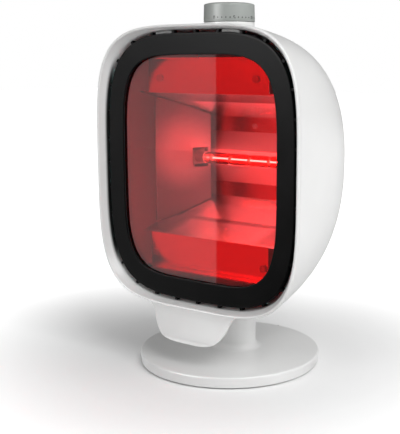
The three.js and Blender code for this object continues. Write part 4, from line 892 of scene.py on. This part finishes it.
# Name, place, target, width, height and power; the places of lights, cards and camera are in metres
LIGHTS = [
    ("key", (1.1, -0.55, 1.3), (0, 0, 0.15), 0.8, 0.8, 10.9),
    ("side_key", (1.3, 0.1, 1.1), (0, 0, 0.15), 0.8, 0.8, 8.5),
    ("side_fill", (1.5, -0.3, 0.5), (0, 0, 0.15), 1.0, 1.0, 0.8),
    ("front", (-0.62, -1.3, 0.58), (0, 0, 0.17), 0.45, 0.4, 3.2),
]
CARDS = [
    ("left_card", 0.63,
     [(-2.6, -1.5, 0.004), (-1.044, -1.5, 0.004), (-1.044, -1.5, 1.6), (-2.6, -1.5, 1.6)]),
    ("top_card", 11.0,
     [(-0.95, -1.35, 0.42), (-0.15, -1.55, 0.42), (-0.15, -1.3, 1.2), (-0.95, -1.1, 1.2)]),
]
# The camera's focal length and middle are in pixels of the photo
PHOTO_WIDTH, PHOTO_HEIGHT, FOCAL_LENGTH, PHOTO_MIDDLE, SENSOR = 400, 434, 861.92, 236.95, 36
CAMERA_PLACE = (0.43339, -0.60944 - FOOT_FORWARD * MM, 0.26357)
CAMERA_DOWN, CAMERA_TURN = 10.18, 34.92


def sheet(name, corners, made):
    """A flat face with a material of its own."""
    mesh = bpy.data.meshes.new(name)
    mesh.from_pydata(corners, [], [(0, 1, 2, 3)])
    mesh.materials.append(made.material)
    obj = bpy.data.objects.new(name, mesh)
    bpy.context.scene.collection.objects.link(obj)
    return obj


def floor():
    """Pale paper that glows white away from the lamp; the glow fades out towards it, a painted grey round
    the foot, and the paper keeps the lamp's real shadow.
    """
    made = Shader("floor_paper", (0.9, 0.9, 0.9), 0.85, Specular_IOR_Level=0.1, Emission_Color=FULL_WHITE)
    rays = made.node("ShaderNodeLightPath").outputs
    far = made.node("ShaderNodeVectorMath", operation="LENGTH")
    made.link(made.place, far.inputs[0])
    # Painted light: a glow for the eye and through glass, faded out near the lamp
    fade = made.reach(far.outputs["Value"], *PAPER_FADE, 0, 1)
    through_glass = made.math("MULTIPLY", rays["Is Transmission Ray"], PAPER_THROUGH_GLASS)
    seen = made.math("ADD", through_glass, rays["Is Camera Ray"])
    made.link(made.math("MULTIPLY", seen, fade), made.bsdf.inputs["Emission Strength"])
    mirrored(made)
    obj = sheet("floor", FLOOR, made)


def mirrored(made):
    """What smooth faces mirror of the floor: a pool of light, a white right side, and a dim rest."""
    edge = made.node("ShaderNodeVectorMath", operation="DOT_PRODUCT")
    edge.inputs[1].default_value = POOL_SLANT
    made.link(made.place, edge.inputs[0])
    pool = made.reach(edge.outputs["Value"], *POOL_EDGE, *POOL_TONES, soft=False)
    x, _, _ = made.place_apart()
    right = made.reach(x, *RIGHT_EDGE, 0, 1)
    glow = made.node("ShaderNodeEmission")
    made.link(made.math("MAXIMUM", pool, right), glow.inputs["Strength"])
    rays = made.node("ShaderNodeLightPath").outputs
    bounced = made.math("SUBTRACT", rays["Is Glossy Ray"], rays["Is Transmission Ray"], clamp=True)
    mix = made.node("ShaderNodeMixShader")
    made.link(bounced, mix.inputs["Fac"])
    made.link(made.bsdf.outputs[0], mix.inputs[1])
    made.link(glow.outputs[0], mix.inputs[2])
    made.link(mix.outputs[0], made.tree.nodes["Material Output"].inputs["Surface"])


def card(name, strength, corners):
    """A white card that only mirrors itself in what is smooth."""
    made = Shader(name, (0, 0, 0), 1.0, Emission_Color=FULL_WHITE, Emission_Strength=strength)
    obj = sheet(name, corners, made)
    obj.visible_camera = obj.visible_diffuse = obj.visible_shadow = obj.visible_transmission = False


def backdrop_world():
    """White all round, of its own strength for what mirrors it, what it shines through and the eye."""
    world = bpy.data.worlds.new("studio")
    bpy.context.scene.world = world
    world.use_nodes = True
    tree = world.node_tree
    paper = tree.nodes["Background"]
    paper.inputs["Color"].default_value = FULL_WHITE
    paper.inputs["Strength"].default_value = WORLD_LIGHT
    rays = tree.nodes.new("ShaderNodeLightPath")
    last = paper.outputs[0]
    for ray, strength in WORLD_SEEN:
        other = tree.nodes.new("ShaderNodeBackground")
        other.inputs["Color"].default_value = FULL_WHITE
        other.inputs["Strength"].default_value = strength
        mix = tree.nodes.new("ShaderNodeMixShader")
        tree.links.new(rays.outputs[ray], mix.inputs["Fac"])
        tree.links.new(last, mix.inputs[1])
        tree.links.new(other.outputs[0], mix.inputs[2])
        last = mix.outputs[0]
    tree.links.new(last, tree.nodes["World Output"].inputs["Surface"])


def soft_light(name, place, target, width, height, power):
    data = bpy.data.lights.new(name, "AREA")
    data.shape, data.size, data.size_y, data.energy = "RECTANGLE", width, height, power
    light = bpy.data.objects.new(name, data)
    light.location = place
    light.rotation_euler = (Vector(target) - Vector(place)).to_track_quat("-Z", "Y").to_euler()
    bpy.context.scene.collection.objects.link(light)


def camera():
    data = bpy.data.cameras.new("camera")
    data.lens = SENSOR * FOCAL_LENGTH / PHOTO_HEIGHT
    data.shift_x = -(PHOTO_MIDDLE - PHOTO_WIDTH / 2) / PHOTO_HEIGHT
    cam = bpy.data.objects.new("camera", data)
    cam.location = CAMERA_PLACE
    cam.rotation_euler = (math.radians(90 - CAMERA_DOWN), 0, math.radians(CAMERA_TURN))
    bpy.context.scene.collection.objects.link(cam)
    bpy.context.scene.camera = cam


floor()
backdrop_world()
for values in LIGHTS:
    soft_light(*values)
for values in CARDS:
    card(*values)
camera()
bpy.context.scene.view_settings.view_transform = "Standard"
